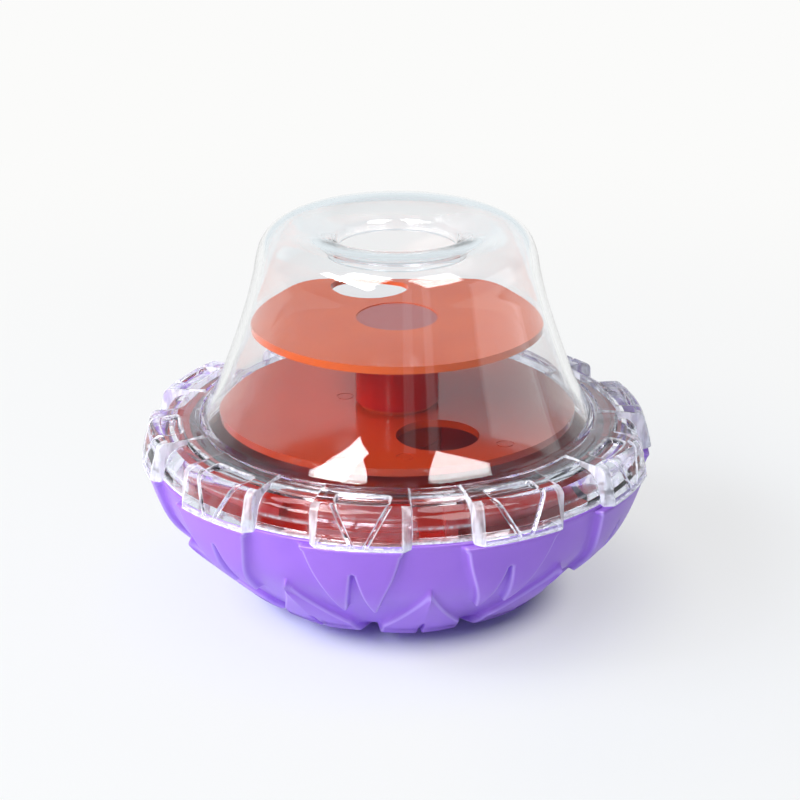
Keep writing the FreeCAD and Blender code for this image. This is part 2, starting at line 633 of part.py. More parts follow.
def grip_slot():
    """The rounded slot across the top of a grip."""
    inner_r = GRIP_TOP_R - SLOT_EDGE_IN - SLOT_WIDTH
    corner = Vector(inner_r, -SLOT_HALF, GRIP_TOP_Z - SLOT_DEPTH)
    box = Part.makeBox(SLOT_WIDTH, 2 * SLOT_HALF, SLOT_DEPTH + OVER, corner)
    upright = [edge for edge in box.Edges if edge.BoundBox.ZLength > SLOT_DEPTH]
    return box.makeFillet(SLOT_CORNER_R, upright)


def groove_stretch(start, end):
    """A V-shaped tool with its lowest line from start to end, reaching a little past both."""
    along = (end - start).normalize()
    first = start - along * GROOVE_OVERLAP
    last = end + along * GROOVE_OVERLAP
    lift = along.cross(Vector(0, 1, 0)).normalize()
    side = lift.cross(along) * (GROOVE_WIDTH / 2)
    bevel = lift * GROOVE_DEPTH
    mouth = lift * (GROOVE_DEPTH + GROOVE_WIDTH)
    profile = path([first, first + side + bevel, first + side + mouth, first - side + mouth,
                    first - side + bevel, first])
    return prism(profile, last - first)


def grip_grooves():
    """The two sloping grooves down the front of a grip, from the ends of its slot to its foot."""
    spots = moved_in(grip_profile(), GROOVE_DEPTH)
    rise = spots[-2] - spots[-1]
    spots[-1] = spots[-1] + rise * (GROOVE_END_GAP / rise.z)
    tools = []
    for sign in (-1, 1):
        line = [spot + Vector(0, sign * half, 0) for spot, half in zip(spots, GROOVE_HALVES)]
        tools += [groove_stretch(start, end) for start, end in zip(line, line[1:])]
    return tools


def make_lock_ring():
    """The clear ring over the dome's flange: grips outside, lugs inside."""
    bore = DOME_FOOT_R + RING_BORE_CLEARANCE
    under = DOME_FOOT_Z - RING_PLATE
    ledge_r = BOWL_RIM_R - RING_LEDGE_IN
    shoulder = at(BOWL_RIM_R - RING_SHOULDER_IN, SEAM_Z + RING_SHOULDER_RISE)
    step = at(ledge_r + RING_STEP / 2, DOME_FOOT_Z - RING_STEP)
    turn = at(step.x + (shoulder.x - step.x) * TURN_SHARE,
              shoulder.z + (step.z - shoulder.z) * RING_TURN_RISE)
    edges = [arc(step, turn, shoulder)]
    edges += path([shoulder, at(BOWL_RIM_R, RING_BOTTOM_Z), at(RING_CAVITY_R, RING_BOTTOM_Z),
                   at(RING_CAVITY_R, under - RING_CHAMFER), at(RING_CAVITY_R - RING_CHAMFER, under),
                   at(bore, under), at(bore, DOME_FOOT_Z), at(ledge_r, DOME_FOOT_Z), step])
    ring = turned(edges)
    grip = grip_section().common(grip_outline_prism())
    grip = grip.cut([grip_slot()] + grip_grooves())
    ring = ring.fuse(ring_of(grip, PETAL_COUNT, FIRST_GRIP_ANGLE))
    lug_top = HOOK_Z - LUG_CLEARANCE
    lug = sector(TRAY_OUTER_R + LUG_SIDE_CLEARANCE, RING_CAVITY_R + LUG_ROOT, lug_top - LUG_THICKNESS,
                 lug_top, -LUG_HALF_ANGLE, LUG_HALF_ANGLE)
    return one_solid(ring.fuse(ring_of(lug, LOCK_COUNT, FIRST_HOOK_ANGLE + LOCK_TURN)))


PARTS = {
    "bowl": make_bowl,
    "ballast_weight": make_ballast,
    "ballast_screws": make_ballast_screws,
    "catch_tray": make_tray,
    "spindle": make_spindle,
    "spindle_screw": make_spindle_screw,
    "lower_disc": make_lower_disc,
    "upper_disc": make_upper_disc,
    "clear_dome": make_dome,
    "lock_ring": make_lock_ring,
}


def main():
    os.makedirs("parts", exist_ok=True)
    for name, make in PARTS.items():
        shape = make()
        shape.exportStep(f"parts/{name}.step")
        state = "valid" if shape.isValid() else "INVALID"
        print(name, len(shape.Solids), "solids", round(shape.Volume), "mm3", state)


main()
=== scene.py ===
"""Wobble treat toy: a petalled bowl, two turning discs and a clear dome held by a clear ring.

Everything is in metres, in the frame of the CAD parts, with the toy standing at the origin.
"""

import logging
import math
from dataclasses import dataclass
from enum import Enum

import bpy
import numpy as np
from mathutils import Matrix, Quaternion, Vector


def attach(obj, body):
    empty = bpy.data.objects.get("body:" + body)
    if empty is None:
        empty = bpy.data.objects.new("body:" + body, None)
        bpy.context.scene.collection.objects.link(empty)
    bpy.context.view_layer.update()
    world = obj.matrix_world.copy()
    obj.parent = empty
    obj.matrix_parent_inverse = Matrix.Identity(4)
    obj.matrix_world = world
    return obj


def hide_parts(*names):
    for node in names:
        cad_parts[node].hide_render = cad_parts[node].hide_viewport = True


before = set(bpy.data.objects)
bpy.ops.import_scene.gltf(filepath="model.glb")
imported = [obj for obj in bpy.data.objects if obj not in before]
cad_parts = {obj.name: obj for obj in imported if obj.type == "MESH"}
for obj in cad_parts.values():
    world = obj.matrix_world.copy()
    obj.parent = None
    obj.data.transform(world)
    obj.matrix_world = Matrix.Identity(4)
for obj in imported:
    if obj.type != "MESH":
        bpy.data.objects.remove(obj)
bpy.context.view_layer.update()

LOG = logging.getLogger("treat_toy")
MM = 0.001
MERGE = 1e-6
# The mesh attribute that says where painted highlights go.
EDGE = "edge"
LAMP_AIM = (0.0, 0.0, 0.06)

Number = float | int
Point = tuple[float, float]
Piece = bpy.types.Object
Rows = dict[str, np.ndarray]


class Body(Enum):
    """The bodies that the pieces ride on."""

    BASE = "base"
    LOWER_DISC = "lower_disc"
    UPPER_DISC = "upper_disc"
    DOME = "dome"
    LOCK_RING = "lock_ring"


class Slot(Enum):
    """The record's material slots."""

    PURPLE = "purple_satin"
    ORANGE = "orange_gloss"
    CLEAR = "clear_gloss"
    IRON = "cast_ballast"
    STEEL = "screw_steel"


class Value:
    """A node's output as a number, so that shader maths reads as plain arithmetic."""

    def __init__(self, nodes: "NodeGraph", socket: bpy.types.NodeSocket) -> None:
        """Keeps the graph that the socket is in, and the socket."""
        self.nodes = nodes
        self.socket = socket

    def math(self, operation: str, *operands: "Value | Number") -> "Value":
        """Adds a Math node.

        Args:
            operation: The Math node's operation.
            operands: What goes into its sockets, in order.

        Returns:
            The node's result.
        """
        settings = {"operation": operation}
        return self.nodes.add("ShaderNodeMath", settings, dict(enumerate(operands)))

    def __add__(self, other: "Value | Number") -> "Value":
        """This value plus another."""
        return self.math("ADD", self, other)

    def __radd__(self, other: Number) -> "Value":
        """A number plus this value."""
        return self.math("ADD", other, self)

    def __sub__(self, other: "Value | Number") -> "Value":
        """This value less another."""
        return self.math("SUBTRACT", self, other)

    def __rsub__(self, other: Number) -> "Value":
        """A number less this value."""
        return self.math("SUBTRACT", other, self)

    def __mul__(self, other: "Value | Number") -> "Value":
        """This value times another."""
        return self.math("MULTIPLY", self, other)

    def __rmul__(self, other: Number) -> "Value":
        """A number times this value."""
        return self.math("MULTIPLY", other, self)

    def rise(self, low: float, high: float) -> "Value":
        """Goes from 0 at low to 1 at high, smoothly."""
        settings = {"interpolation_type": "SMOOTHSTEP"}
        sockets = {"Value": self, "From Min": low, "From Max": high}
        return self.nodes.add("ShaderNodeMapRange", settings, sockets)

    def most(self, other: "Value | Number") -> "Value":
        """The larger of this value and another."""
        return self.math("MAXIMUM", self, other)

    def size(self) -> "Value":
        """This value without its sign."""
        return self.math("ABSOLUTE", self)

    def part(self, axis: str) -> "Value":
        """One part of a vector."""
        return self.nodes.add("ShaderNodeSeparateXYZ", {}, {0: self}, output=axis)

    def length(self) -> "Value":
        """A vector's length."""
        settings = {"operation": "LENGTH"}
        return self.nodes.add("ShaderNodeVectorMath", settings, {0: self}, output="Value")


class NodeGraph:
    """The nodes of one material or of the world."""

    def __init__(self, tree: bpy.types.NodeTree) -> None:
        """Empties the tree and starts a new graph in it."""
        tree.nodes.clear()
        self.tree = tree

    def add(self, kind: str, settings: dict | None = None, sockets: dict | None = None,
            output: int | str = 0) -> Value:
        """Adds one node.

        Args:
            kind: The node's type.
            settings: Its settings, by name. They are set before the sockets.
            sockets: Values or links for its inputs, by name or index.
            output: Which of its outputs is wanted.

        Returns:
            The wanted output.
        """
        node = self.tree.nodes.new(kind)
        for name, setting in (settings or {}).items():
            setattr(node, name, setting)
        for name, given in (sockets or {}).items():
            if isinstance(given, Value):
                self.tree.links.new(given.socket, node.inputs[name])
            else:
                node.inputs[name].default_value = given
        return Value(self, node.outputs[output])

    def place(self, scale: tuple[float, float, float] = (1.0, 1.0, 1.0)) -> Value:
        """Object coordinates, stretched by scale."""
        coordinates = self.add("ShaderNodeTexCoord", output="Object")
        return self.add("ShaderNodeMapping", {}, {"Vector": coordinates, "Scale": scale})

    def noise(self, where: Value, scale: float, detail: float = 3.0, roughness: float = 0.5) -> Value:
        """A noise value from 0 to 1."""
        sockets = {"Vector": where, "Scale": scale, "Detail": detail, "Roughness": roughness}
        return self.add("ShaderNodeTexNoise", {}, sockets)

    def mix_colour(self, share: Value | float, first: Value | tuple, second: Value | tuple) -> Value:
        """A mix of two colours."""
        sockets = {0: share, 6: first, 7: second}
        return self.add("ShaderNodeMix", {"data_type": "RGBA"}, sockets, output=2)

    def bump(self, height: Value, strength: float, distance: float) -> Value:
        """A normal bent by a height."""
        sockets = {"Height": height, "Strength": strength, "Distance": distance}
        return self.add("ShaderNodeBump", {}, sockets)

    def principled(self, **sockets: "Value | float | tuple") -> Value:
        """A Principled shader, its sockets named with an underscore for each space."""
        named = {name.replace("_", " "): given for name, given in sockets.items()}
        return self.add("ShaderNodeBsdfPrincipled", {}, named)

    def edge(self) -> Value:
        """How much painted highlight the surface gets, as the piece's edge attribute says."""
        return self.add("ShaderNodeAttribute", {"attribute_name": EDGE}, output="Fac")

    def background(self, colour: Value | tuple, strength: float = 1.0) -> Value:
        """A light from all round."""
        return self.add("ShaderNodeBackground", {}, {"Color": colour, "Strength": strength})

    def mix_shader(self, share: Value | float, first: Value, second: Value) -> Value:
        """A mix of two shaders."""
        return self.add("ShaderNodeMixShader", {}, {0: share, 1: first, 2: second})

    def light_path(self, kind: str) -> Value:
        """Whether the ray is of one kind."""
        return self.add("ShaderNodeLightPath", output=kind)

    def finish(self, shader: Value, kind: str = "ShaderNodeOutputMaterial") -> None:
        """Links the shader to the output."""
        output = self.tree.nodes.new(kind)
        self.tree.links.new(shader.socket, output.inputs["Surface"])


def new_material(name: str) -> tuple[bpy.types.Material, NodeGraph]:
    """An empty material and the graph of its nodes."""
    material = bpy.data.materials.new(name)
    material.use_nodes = True
    return material, NodeGraph(material.node_tree)


def spaced(points: list[Point], spacing: float) -> list[Point]:
    """Points about evenly spaced along a smooth curve.

    Args:
        points: What the curve goes through.
        spacing: The distance between the new points.

    Returns:
        The new points, from the first given point to the last.
    """
    given = np.array(points, float)
    steps = np.hypot(*np.diff(given, axis=0).T)
    knots = np.concatenate(([0.0], np.cumsum(steps)))
    count = len(given)
    system = np.eye(count)
    right = np.zeros((count, 2))
    for index in range(1, count - 1):
        before, after = steps[index - 1], steps[index]
        system[index, index - 1:index + 2] = before, 2 * (before + after), after
        slope_after = (given[index + 1] - given[index]) / after
        slope_before = (given[index] - given[index - 1]) / before
        right[index] = 6 * (slope_after - slope_before)
    bend = np.linalg.solve(system, right)
    places = np.linspace(0.0, knots[-1], max(2, round(knots[-1] / spacing) + 1))
    spans = np.clip(np.searchsorted(knots, places, side="right") - 1, 0, count - 2)
    width = steps[spans][:, None]
    ahead = ((knots[spans + 1] - places)[:, None]) / width
    behind = 1.0 - ahead
    curve = ahead * given[spans] + behind * given[spans + 1]
    bent = (ahead ** 3 - ahead) * bend[spans] + (behind ** 3 - behind) * bend[spans + 1]
    curve += bent * width ** 2 / 6
    return [tuple(point) for point in curve]


def arc(start: Point, middle: Point, end: Point, count: int) -> list[Point]:
    """Points along the circle through three points.

    Args:
        start: Where the arc starts.
        middle: A point on the way.
        end: Where it ends.
        count: How many points it has, with both ends.

    Returns:
        The arc's points.
    """
    first, second, third = (complex(*point) for point in (start, middle, end))
    ratio = (third - first) / (second - first)
    centre = first + (second - first) * (ratio - abs(ratio) ** 2) / (2j * ratio.imag)
    turn = np.angle((third - centre) / (first - centre))
    way = np.angle((second - centre) / (first - centre))
    if turn * way < 0:
        turn -= math.copysign(2 * math.pi, turn)
    shares = np.linspace(0, 1, count)
    spokes = [centre + (first - centre) * np.exp(1j * turn * share) for share in shares]
    return [(float(spoke.real), float(spoke.imag)) for spoke in spokes]


def between(start: Point, end: Point, shares: tuple[float, float]) -> Point:
    """A point whose two numbers lie a share of the way from start's to end's."""
    return tuple(first + (last - first) * share for first, last, share in zip(start, end, shares))


def beside(corner: Point, *offsets: Point) -> list[Point]:
    """Points at the given offsets from a corner, such as those that round it."""
    return [(corner[0] + across, corner[1] + up) for across, up in offsets]


def rounded(points: list[Point], radii: list[float], count: int = 4) -> list[Point]:
    """A run of straight lines with its corners rounded.

    Args:
        points: The corners, with the two ends.
        radii: How far each inner corner is cut back along its lines.
        count: How many points each corner gets.

    Returns:
        The points of the rounded run.
    """
    run = [points[0]]
    for index in range(1, len(points) - 1):
        corner = np.array(points[index])
        cut = radii[index - 1]
        if not cut:
            run.append(points[index])
            continue
        back = np.array(points[index - 1]) - corner
        ahead = np.array(points[index + 1]) - corner
        start = corner + back / np.hypot(*back) * cut
        end = corner + ahead / np.hypot(*ahead) * cut
        for share in np.linspace(0.0, 1.0, count):
            bend = (1 - share) ** 2 * start + 2 * share * (1 - share) * corner + share ** 2 * end
            run.append(tuple(bend))
    return run + [points[-1]]


def normals(points: list[Point]) -> np.ndarray:
    """Unit normals of a curve, on its right-hand side."""
    along = np.gradient(np.array(points), axis=0)
    along /= np.hypot(*along.T)[:, None]
    return np.stack([along[:, 1], -along[:, 0]], axis=1)


def gathered(start: float, end: float, near: np.ndarray, far: np.ndarray, count: int) -> np.ndarray:
    """Columns from one line up to the next, gathered along both.

    Args:
        start: Where the first line is.
        end: Where the next line is.
        near: How far after the first line columns lie, rising.
        far: How far before the next line columns lie, falling.
        count: How many steps, and one more, the rest is parted in.

    Returns:
        The columns' places, with the first line's and without the next line's.
    """
    middle = np.linspace(start + near[-1], end - far[0], count)[1:-1]
    return np.concatenate([[start], start + near, middle, end - far])


def mirrored(columns: np.ndarray, places: list[np.ndarray], marks: np.ndarray, first_angle: float,
             pitch: float) -> tuple[np.ndarray, np.ndarray]:
    """The whole of a repeating part, from half sectors that mirror themselves.

    Args:
        columns: The angles of half a sector's columns, row by row, from the sector's middle.
        places: For each sector of the part, the radius and height of its half's points.
        marks: How much painted highlight each of the half's points gets.
        first_angle: Where the first sector's middle is, in degrees.
        pitch: The angle from one sector to the next.

    Returns:
        Angle, radius and height of every point, and how much painted highlight each gets.
    """
    count = columns.shape[1] - 1
    table, edges = [], []
    for column in range(2 * count * len(places) + 1):
        sector, local = divmod(column, 2 * count)
        step = local - count
        centre = math.radians(first_angle) + sector * pitch
        angle = centre + math.copysign(1.0, step) * columns[:, abs(step)]
        table.append(np.column_stack([angle, places[sector % len(places)][:, abs(step)]]))
        edges.append(marks[:, abs(step)])
    return np.stack(table, axis=1), np.stack(edges, axis=1)


def signed_distance(places: np.ndarray, outline: np.ndarray) -> np.ndarray:
    """Distance to a closed outline, positive inside.

    Args:
        places: An array of points, two numbers each along its last axis.
        outline: The outline's corners.

    Returns:
        One distance for each place.
    """
    tiny = 1e-12
    nearest = np.full(places.shape[:-1], np.inf)
    inside = np.zeros(places.shape[:-1], bool)
    for start, end in zip(outline, np.roll(outline, -1, axis=0)):
        edge = end - start
        reach = places - start
        share = np.clip((reach @ edge) / max(edge @ edge, tiny), 0.0, 1.0)
        gap = np.hypot(*np.moveaxis(reach - share[..., None] * edge, -1, 0))
        nearest = np.minimum(nearest, gap)
        crosses = (start[1] > places[..., 1]) != (end[1] > places[..., 1])
        rise = end[1] - start[1] if end[1] != start[1] else tiny
        side = (end[0] - start[0]) * (places[..., 1] - start[1]) / rise + start[0]
        inside ^= crosses & (places[..., 0] < side)
    return np.where(inside, nearest, -nearest)


def clear_selection() -> None:
    """Deselects everything."""
    if bpy.context.object and bpy.context.object.mode != "OBJECT":
        bpy.ops.object.mode_set(mode="OBJECT")
    bpy.ops.object.select_all(action="DESELECT")


def select(piece: Piece) -> None:
    """Makes a piece the only one selected, and the active one."""
    clear_selection()
    piece.select_set(True)
    bpy.context.view_layer.objects.active = piece


def modify(piece: Piece, kind: str, **settings: object) -> None:
    """Gives a piece a modifier of one kind, with its settings, and applies it."""
    select(piece)
    modifier = piece.modifiers.new(kind, kind)
    for name, setting in settings.items():
        setattr(modifier, name, setting)
    bpy.ops.object.modifier_apply(modifier=modifier.name)


def on_circle(out: float, angle: float, height: float = 0.0) -> Vector:
    """A place in metres, from a radius, an angle in degrees and a height in millimetres."""
    turn = math.radians(angle)
    return Vector((out * MM * math.cos(turn), out * MM * math.sin(turn), height * MM))


def sweep(name: str, section: list[Point], steps: int, turn: float) -> Piece:
    """Turns a half section part of the way about the upright axis.

    Args:
        name: The piece's name.
        section: Its half section in millimetres, radius and height. It is open where both ends lie on
            the axis, and closed otherwise.
        steps: How many faces wide the swept part is.
        turn: How far it is turned, in radians.

    Returns:
        The swept part.
    """
    clear_selection()
    bpy.ops.mesh.primitive_circle_add(vertices=len(section), fill_type="NOTHING")
    piece = bpy.context.object
    piece.name = piece.data.name = name
    for vertex, (radius, height) in zip(piece.data.vertices, section):
        vertex.co = (radius * MM, 0.0, height * MM)
        vertex.select = True
    open_ends = section[0][0] == 0.0 and section[-1][0] == 0.0
    for edge in piece.data.edges:
        edge.select = not (open_ends and set(edge.vertices) == {0, len(section) - 1})
    bpy.ops.object.mode_set(mode="EDIT")
    if open_ends:
        bpy.ops.mesh.select_mode(type="EDGE")
        bpy.ops.mesh.select_all(action="INVERT")
        bpy.ops.mesh.delete(type="EDGE_FACE")
    bpy.ops.mesh.select_mode(type="VERT")
    bpy.ops.mesh.select_all(action="SELECT")
    bpy.ops.mesh.spin(steps=steps, angle=turn, center=(0, 0, 0), axis=(0, 0, 1))
    bpy.ops.object.mode_set(mode="OBJECT")
    return piece


def close_round(piece: Piece, count: int) -> None:
    """Copies a swept part about the upright axis until it closes, and merges the seams.

    Args:
        piece: The swept part.
        count: How many of it make the full turn.
    """
    select(piece)
    bpy.ops.object.mode_set(mode="EDIT")
    bpy.ops.mesh.select_all(action="SELECT")
    turn = 2 * math.pi / count
    for _ in range(count - 1):
        bpy.ops.mesh.duplicate()
        bpy.ops.transform.rotate(value=turn, orient_axis="Z", center_override=(0.0, 0.0, 0.0))
    bpy.ops.mesh.select_all(action="SELECT")
    bpy.ops.mesh.remove_doubles(threshold=MERGE)
    bpy.ops.mesh.normals_make_consistent(inside=False)
    bpy.ops.object.mode_set(mode="OBJECT")


def spin(name: str, section: list[Point], steps: int) -> Piece:
    """Turns a half section all the way about the upright axis.

    Args:
        name: The piece's name.
        section: Its half section, as for a sweep.
        steps: How many faces go round, a multiple of four.

    Returns:
        The closed piece.
    """
    piece = sweep(name, section, steps // 4, math.pi / 2)
    close_round(piece, 4)
    return piece


def shape_round(name: str, table: np.ndarray, count: int, edges: np.ndarray) -> Piece:
    """Sweeps one part of a repeating shape, moves its points to their places and copies it round.

    Args:
        name: The piece's name.
        table: Angle, radius and height for each row and column of the part.
        count: How many parts make the full turn.
        edges: How much painted highlight each row and column gets, for the finish.

    Returns:
        The closed piece.
    """
    section = [(float(radius), float(height)) for _, radius, height in table[:, -1]]
    steps = table.shape[1] - 1
    turn = 2 * math.pi / count
    piece = sweep(name, section, steps, turn)
    places = np.empty(len(piece.data.vertices) * 3)
    piece.data.vertices.foreach_get("co", places)
    places = places.reshape(-1, 3) / MM
    column = np.round(np.abs(np.arctan2(places[:, 1], places[:, 0])) / turn * steps).astype(int)
    reach = np.hypot(places[:, 0], places[:, 1])
    away = np.abs(reach[:, None] - table[:, -1, 1]) + np.abs(places[:, 2, None] - table[:, -1, 2])
    row = away.argmin(axis=1)
    angle, radius, height = np.moveaxis(table[row, column], -1, 0)
    moved = np.stack([radius * np.cos(angle), radius * np.sin(angle), height], axis=1) * MM
    piece.data.vertices.foreach_set("co", moved.ravel())
    marks = piece.data.attributes.new(EDGE, "FLOAT", "POINT")
    marks.data.foreach_set("value", edges[row, column].astype(np.float32))
    piece.data.update()
    close_round(piece, count)
    return piece


def shade(piece: Piece, angle: float) -> None:
    """Shades a piece smooth, apart from edges sharper than an angle in degrees."""
    select(piece)
    bpy.ops.object.shade_smooth_by_angle(angle=math.radians(angle))


def cut(piece: Piece, tool: Piece) -> None:
    """Cuts one closed piece out of another and removes the tool."""
    modify(piece, "BOOLEAN", operation="DIFFERENCE", solver="EXACT", object=tool)
    bpy.data.objects.remove(tool)


def soften(piece: Piece, width: float, angle: float) -> None:
    """Rounds the sharp edges of a piece.

    Args:
        piece: The piece.
        width: The rounding's width in millimetres.
        angle: Edges sharper than this many degrees are rounded.
    """
    modify(piece, "BEVEL", width=width * MM, segments=3, limit_method="ANGLE",
           angle_limit=math.radians(angle), use_clamp_overlap=True)
    bpy.ops.object.mode_set(mode="EDIT")
    bpy.ops.mesh.select_all(action="SELECT")
    bpy.ops.mesh.remove_doubles(threshold=MERGE)
    bpy.ops.object.mode_set(mode="OBJECT")


def even_shading(piece: Piece, angle: float) -> None:
    """Shades a piece smooth up to an angle in degrees, with its large flat faces kept flat."""
    shade(piece, angle)
    modify(piece, "WEIGHTED_NORMAL", keep_sharp=True, weight=100)


def linear(red: int, green: int, blue: int) -> tuple[float, float, float, float]:
    """A screen colour as linear light.

    Args:
        red: Red from 0 to 255.
        green: Green from 0 to 255.
        blue: Blue from 0 to 255.

    Returns:
        The linear colour with an alpha of 1.
    """
    def channel(level: int) -> float:
        """One channel."""
        share = level / 255
        return share / 12.92 if share <= 0.04045 else ((share + 0.055) / 1.055) ** 2.4

    return channel(red), channel(green), channel(blue), 1.0


@dataclass(frozen=True)
class SatinPlastic:
    """Moulded plastic with a soft sheen, faintly mottled and finely grained, with a lighter painted highlight
    along the relief's edges.
    """

    name: str = "purple_satin"
    colour: tuple = linear(166, 113, 229)
    shade: tuple = linear(158, 105, 223)
    # The painted highlight's colour, mixed in along the petals' and leaves' edges.
    edge: tuple = linear(212, 186, 252)
    painted_highlight_share: float = 0.6
    roughness: float = 0.36
    mottle: float = 35.0
    grain: float = 900.0

    def make(self) -> bpy.types.Material:
        """The material."""
        material, nodes = new_material(self.name)
        where = nodes.place()
        mottle = nodes.noise(where, self.mottle)
        fine = nodes.noise(where, self.grain, detail=2.0)
        plain = nodes.mix_colour(mottle.rise(0.35, 0.65), self.shade, self.colour)
        shader = nodes.principled(
            Base_Color=nodes.mix_colour(nodes.edge() * self.painted_highlight_share, plain, self.edge),
            Roughness=self.roughness + (mottle - 0.5) * 0.10 + (fine - 0.5) * 0.06,
            Normal=nodes.bump(fine, 0.12, 0.00002))
        nodes.finish(shader)
        return material


@dataclass(frozen=True)
class GlossPlastic:
    """Glossy moulded plastic with faint flow marks and a few fine scuffs."""

    name: str = "orange_gloss"
    # Painted shade: the same orange plastic as the upper disc's, written darker because the lower disc lies
    # in the upper disc's shade; the spindle wears it too.
    colour: tuple = linear(196, 62, 6)
    shade: tuple = linear(188, 54, 4)
    roughness: float = 0.10

    def make(self) -> bpy.types.Material:
        """The material."""
        material, nodes = new_material(self.name)
        where = nodes.place()
        flow = nodes.noise(where, 28.0, detail=4.0)
        scuff = nodes.noise(nodes.place((60.0, 900.0, 60.0)), 1.0, detail=2.0)
        scuffed = scuff.rise(0.62, 0.72)
        plain = nodes.mix_colour(flow.rise(0.3, 0.7), self.shade, self.colour)
        shader = nodes.principled(
            Base_Color=self.coloured(nodes, where, plain),
            Roughness=self.roughness + flow * 0.06 + scuffed * 0.08,
            Normal=nodes.bump(flow + scuffed * 0.1, 0.10, 0.0002))
        nodes.finish(shader)
        return material

    def coloured(self, nodes: NodeGraph, where: Value, plain: Value) -> Value:
        """The colour over the piece; here it is the same all over."""
        return plain


@dataclass(frozen=True)
class TubeDiscPlastic(GlossPlastic):
    """The upper disc's plastic, a lit copy of the same orange that is written lighter than the lower disc's,
    with painted shade that makes the tube under the disc deeper red and painted shade and sheen that make the
    thin web over the bore a dull pink.
    """

    name: str = "orange_gloss_tube_painted_shade"
    colour: tuple = linear(228, 92, 12)
    shade: tuple = linear(218, 82, 8)
    # Painted shade in the tube, and painted shade and sheen on the web.
    tube: tuple = linear(184, 22, 3)
    web: tuple = linear(180, 84, 78)
    tube_top: tuple = (0.0848, 0.0852)
    web_side: tuple = (0.0116, 0.0124)
    web_height: tuple = (0.0862, 0.0864)

    def coloured(self, nodes: NodeGraph, where: Value, plain: Value) -> Value:
        """The colour over the piece, with the painted shade in the tube and the painted shade and sheen on
        the web.
        """
        out = nodes.place((1.0, 1.0, 0.0)).length()
        height = where.part("Z")
        painted_web_shade_and_sheen = (1 - out.rise(*self.web_side)) * height.rise(*self.web_height)
        painted_tube_shade = 1 - height.rise(*self.tube_top)
        return nodes.mix_colour(painted_tube_shade, nodes.mix_colour(painted_web_shade_and_sheen, plain, self.web), self.tube)


@dataclass(frozen=True)
class ClearPlastic:
    """Clear polished plastic that lets lamps through."""

    name: str = "clear_gloss"
    tint: tuple = (0.975, 0.99, 1.0, 1.0)
    bend: float = 1.49
    roughness: float = 0.0

    def make(self) -> bpy.types.Material:
        """The material."""
        material, nodes = new_material(self.name)
        glass = nodes.principled(Base_Color=self.tint, Roughness=self.roughness, IOR=self.bend,
                                 Transmission_Weight=1.0, Normal=self.surface(nodes))
        passed = nodes.add("ShaderNodeBsdfTransparent", {}, {"Color": self.tint})
        through = nodes.light_path("Is Shadow Ray").most(nodes.light_path("Is Diffuse Ray"))
        nodes.finish(nodes.mix_shader(through, self.with_painted_highlights(nodes, glass), passed))
        return material

    def surface(self, nodes: NodeGraph) -> Value:
        """The faint ripple and the upright flow lines of the moulding."""
        ripple = nodes.noise(nodes.place(), 60.0, detail=1.0)
        lines = nodes.noise(nodes.place((260.0, 260.0, 5.0)), 1.0, detail=1.0)
        return nodes.bump(ripple + lines * 0.25, 0.05, 0.0002)

    def with_painted_highlights(self, nodes: NodeGraph, glass: Value) -> Value:
        """The plastic with its painted highlights; here there are none and it is clear all over."""
        return glass


@dataclass(frozen=True)
class PaintedEdgeHighlightPlastic(ClearPlastic):
    """Thick clear plastic with painted highlights: white along its edges, where the piece's edge attribute
    says.
    """

    name: str = "clear_gloss_painted_edge_highlights"
    tint: tuple = (0.95, 0.95, 1.0, 1.0)
    bend: float = 1.33
    # The painted highlight's colour, mixed in along the edges.
    white: tuple = (0.93, 0.93, 1.0, 1.0)
    share: float = 0.95

    def surface(self, nodes: NodeGraph) -> Value:
        """The faint ripple of the moulding."""
        return nodes.bump(nodes.noise(nodes.place(), 60.0, detail=1.0), 0.05, 0.0002)

    def with_painted_highlights(self, nodes: NodeGraph, glass: Value) -> Value:
        """The plastic with its painted highlights: clear, and white where the piece's edge attribute says."""
        body = nodes.principled(Base_Color=self.white, Roughness=0.25)
        streaks = nodes.noise(nodes.place((450.0, 450.0, 120.0)), 1.0, detail=2.0).rise(0.38, 0.62)
        return nodes.mix_shader(nodes.edge() * self.share * (0.5 + streaks * 0.5), glass, body)


@dataclass(frozen=True)
class Metal:
    """Bare metal, cast or plated."""

    name: str
    colour: tuple
    roughness: float
    grain: float
    depth: float

    def make(self) -> bpy.types.Material:
        """The material."""
        material, nodes = new_material(self.name)
        cast = nodes.noise(nodes.place(), self.grain, detail=5.0, roughness=0.6)
        dark = tuple(0.7 * part for part in self.colour[:3]) + (1.0,)
        shader = nodes.principled(
            Base_Color=nodes.mix_colour(cast.rise(0.3, 0.7), dark, self.colour),
            Metallic=1.0,
            Roughness=self.roughness + (cast - 0.5) * 0.2,
            Normal=nodes.bump(cast, 0.3, self.depth))
        nodes.finish(shader)
        return material


class Finish(Enum):
    """The finishes that the pieces are dressed in."""

    PURPLE = SatinPlastic()
    ORANGE = GlossPlastic()
    TUBE_DISC = TubeDiscPlastic()
    # Painted shade: the same orange plastic written much darker, because the tray lies in shade under the
    # lower disc and the ring.
    TRAY = GlossPlastic("orange_gloss_tray_painted_shade", linear(174, 30, 12), linear(162, 24, 10))
    CLEAR = ClearPlastic()
    CLEAR_EDGES = PaintedEdgeHighlightPlastic()
    IRON = Metal("cast_ballast", (0.20, 0.20, 0.21, 1.0), 0.55, 700.0, 0.0004)
    STEEL = Metal("screw_steel", (0.62, 0.62, 0.63, 1.0), 0.28, 1500.0, 0.00005)


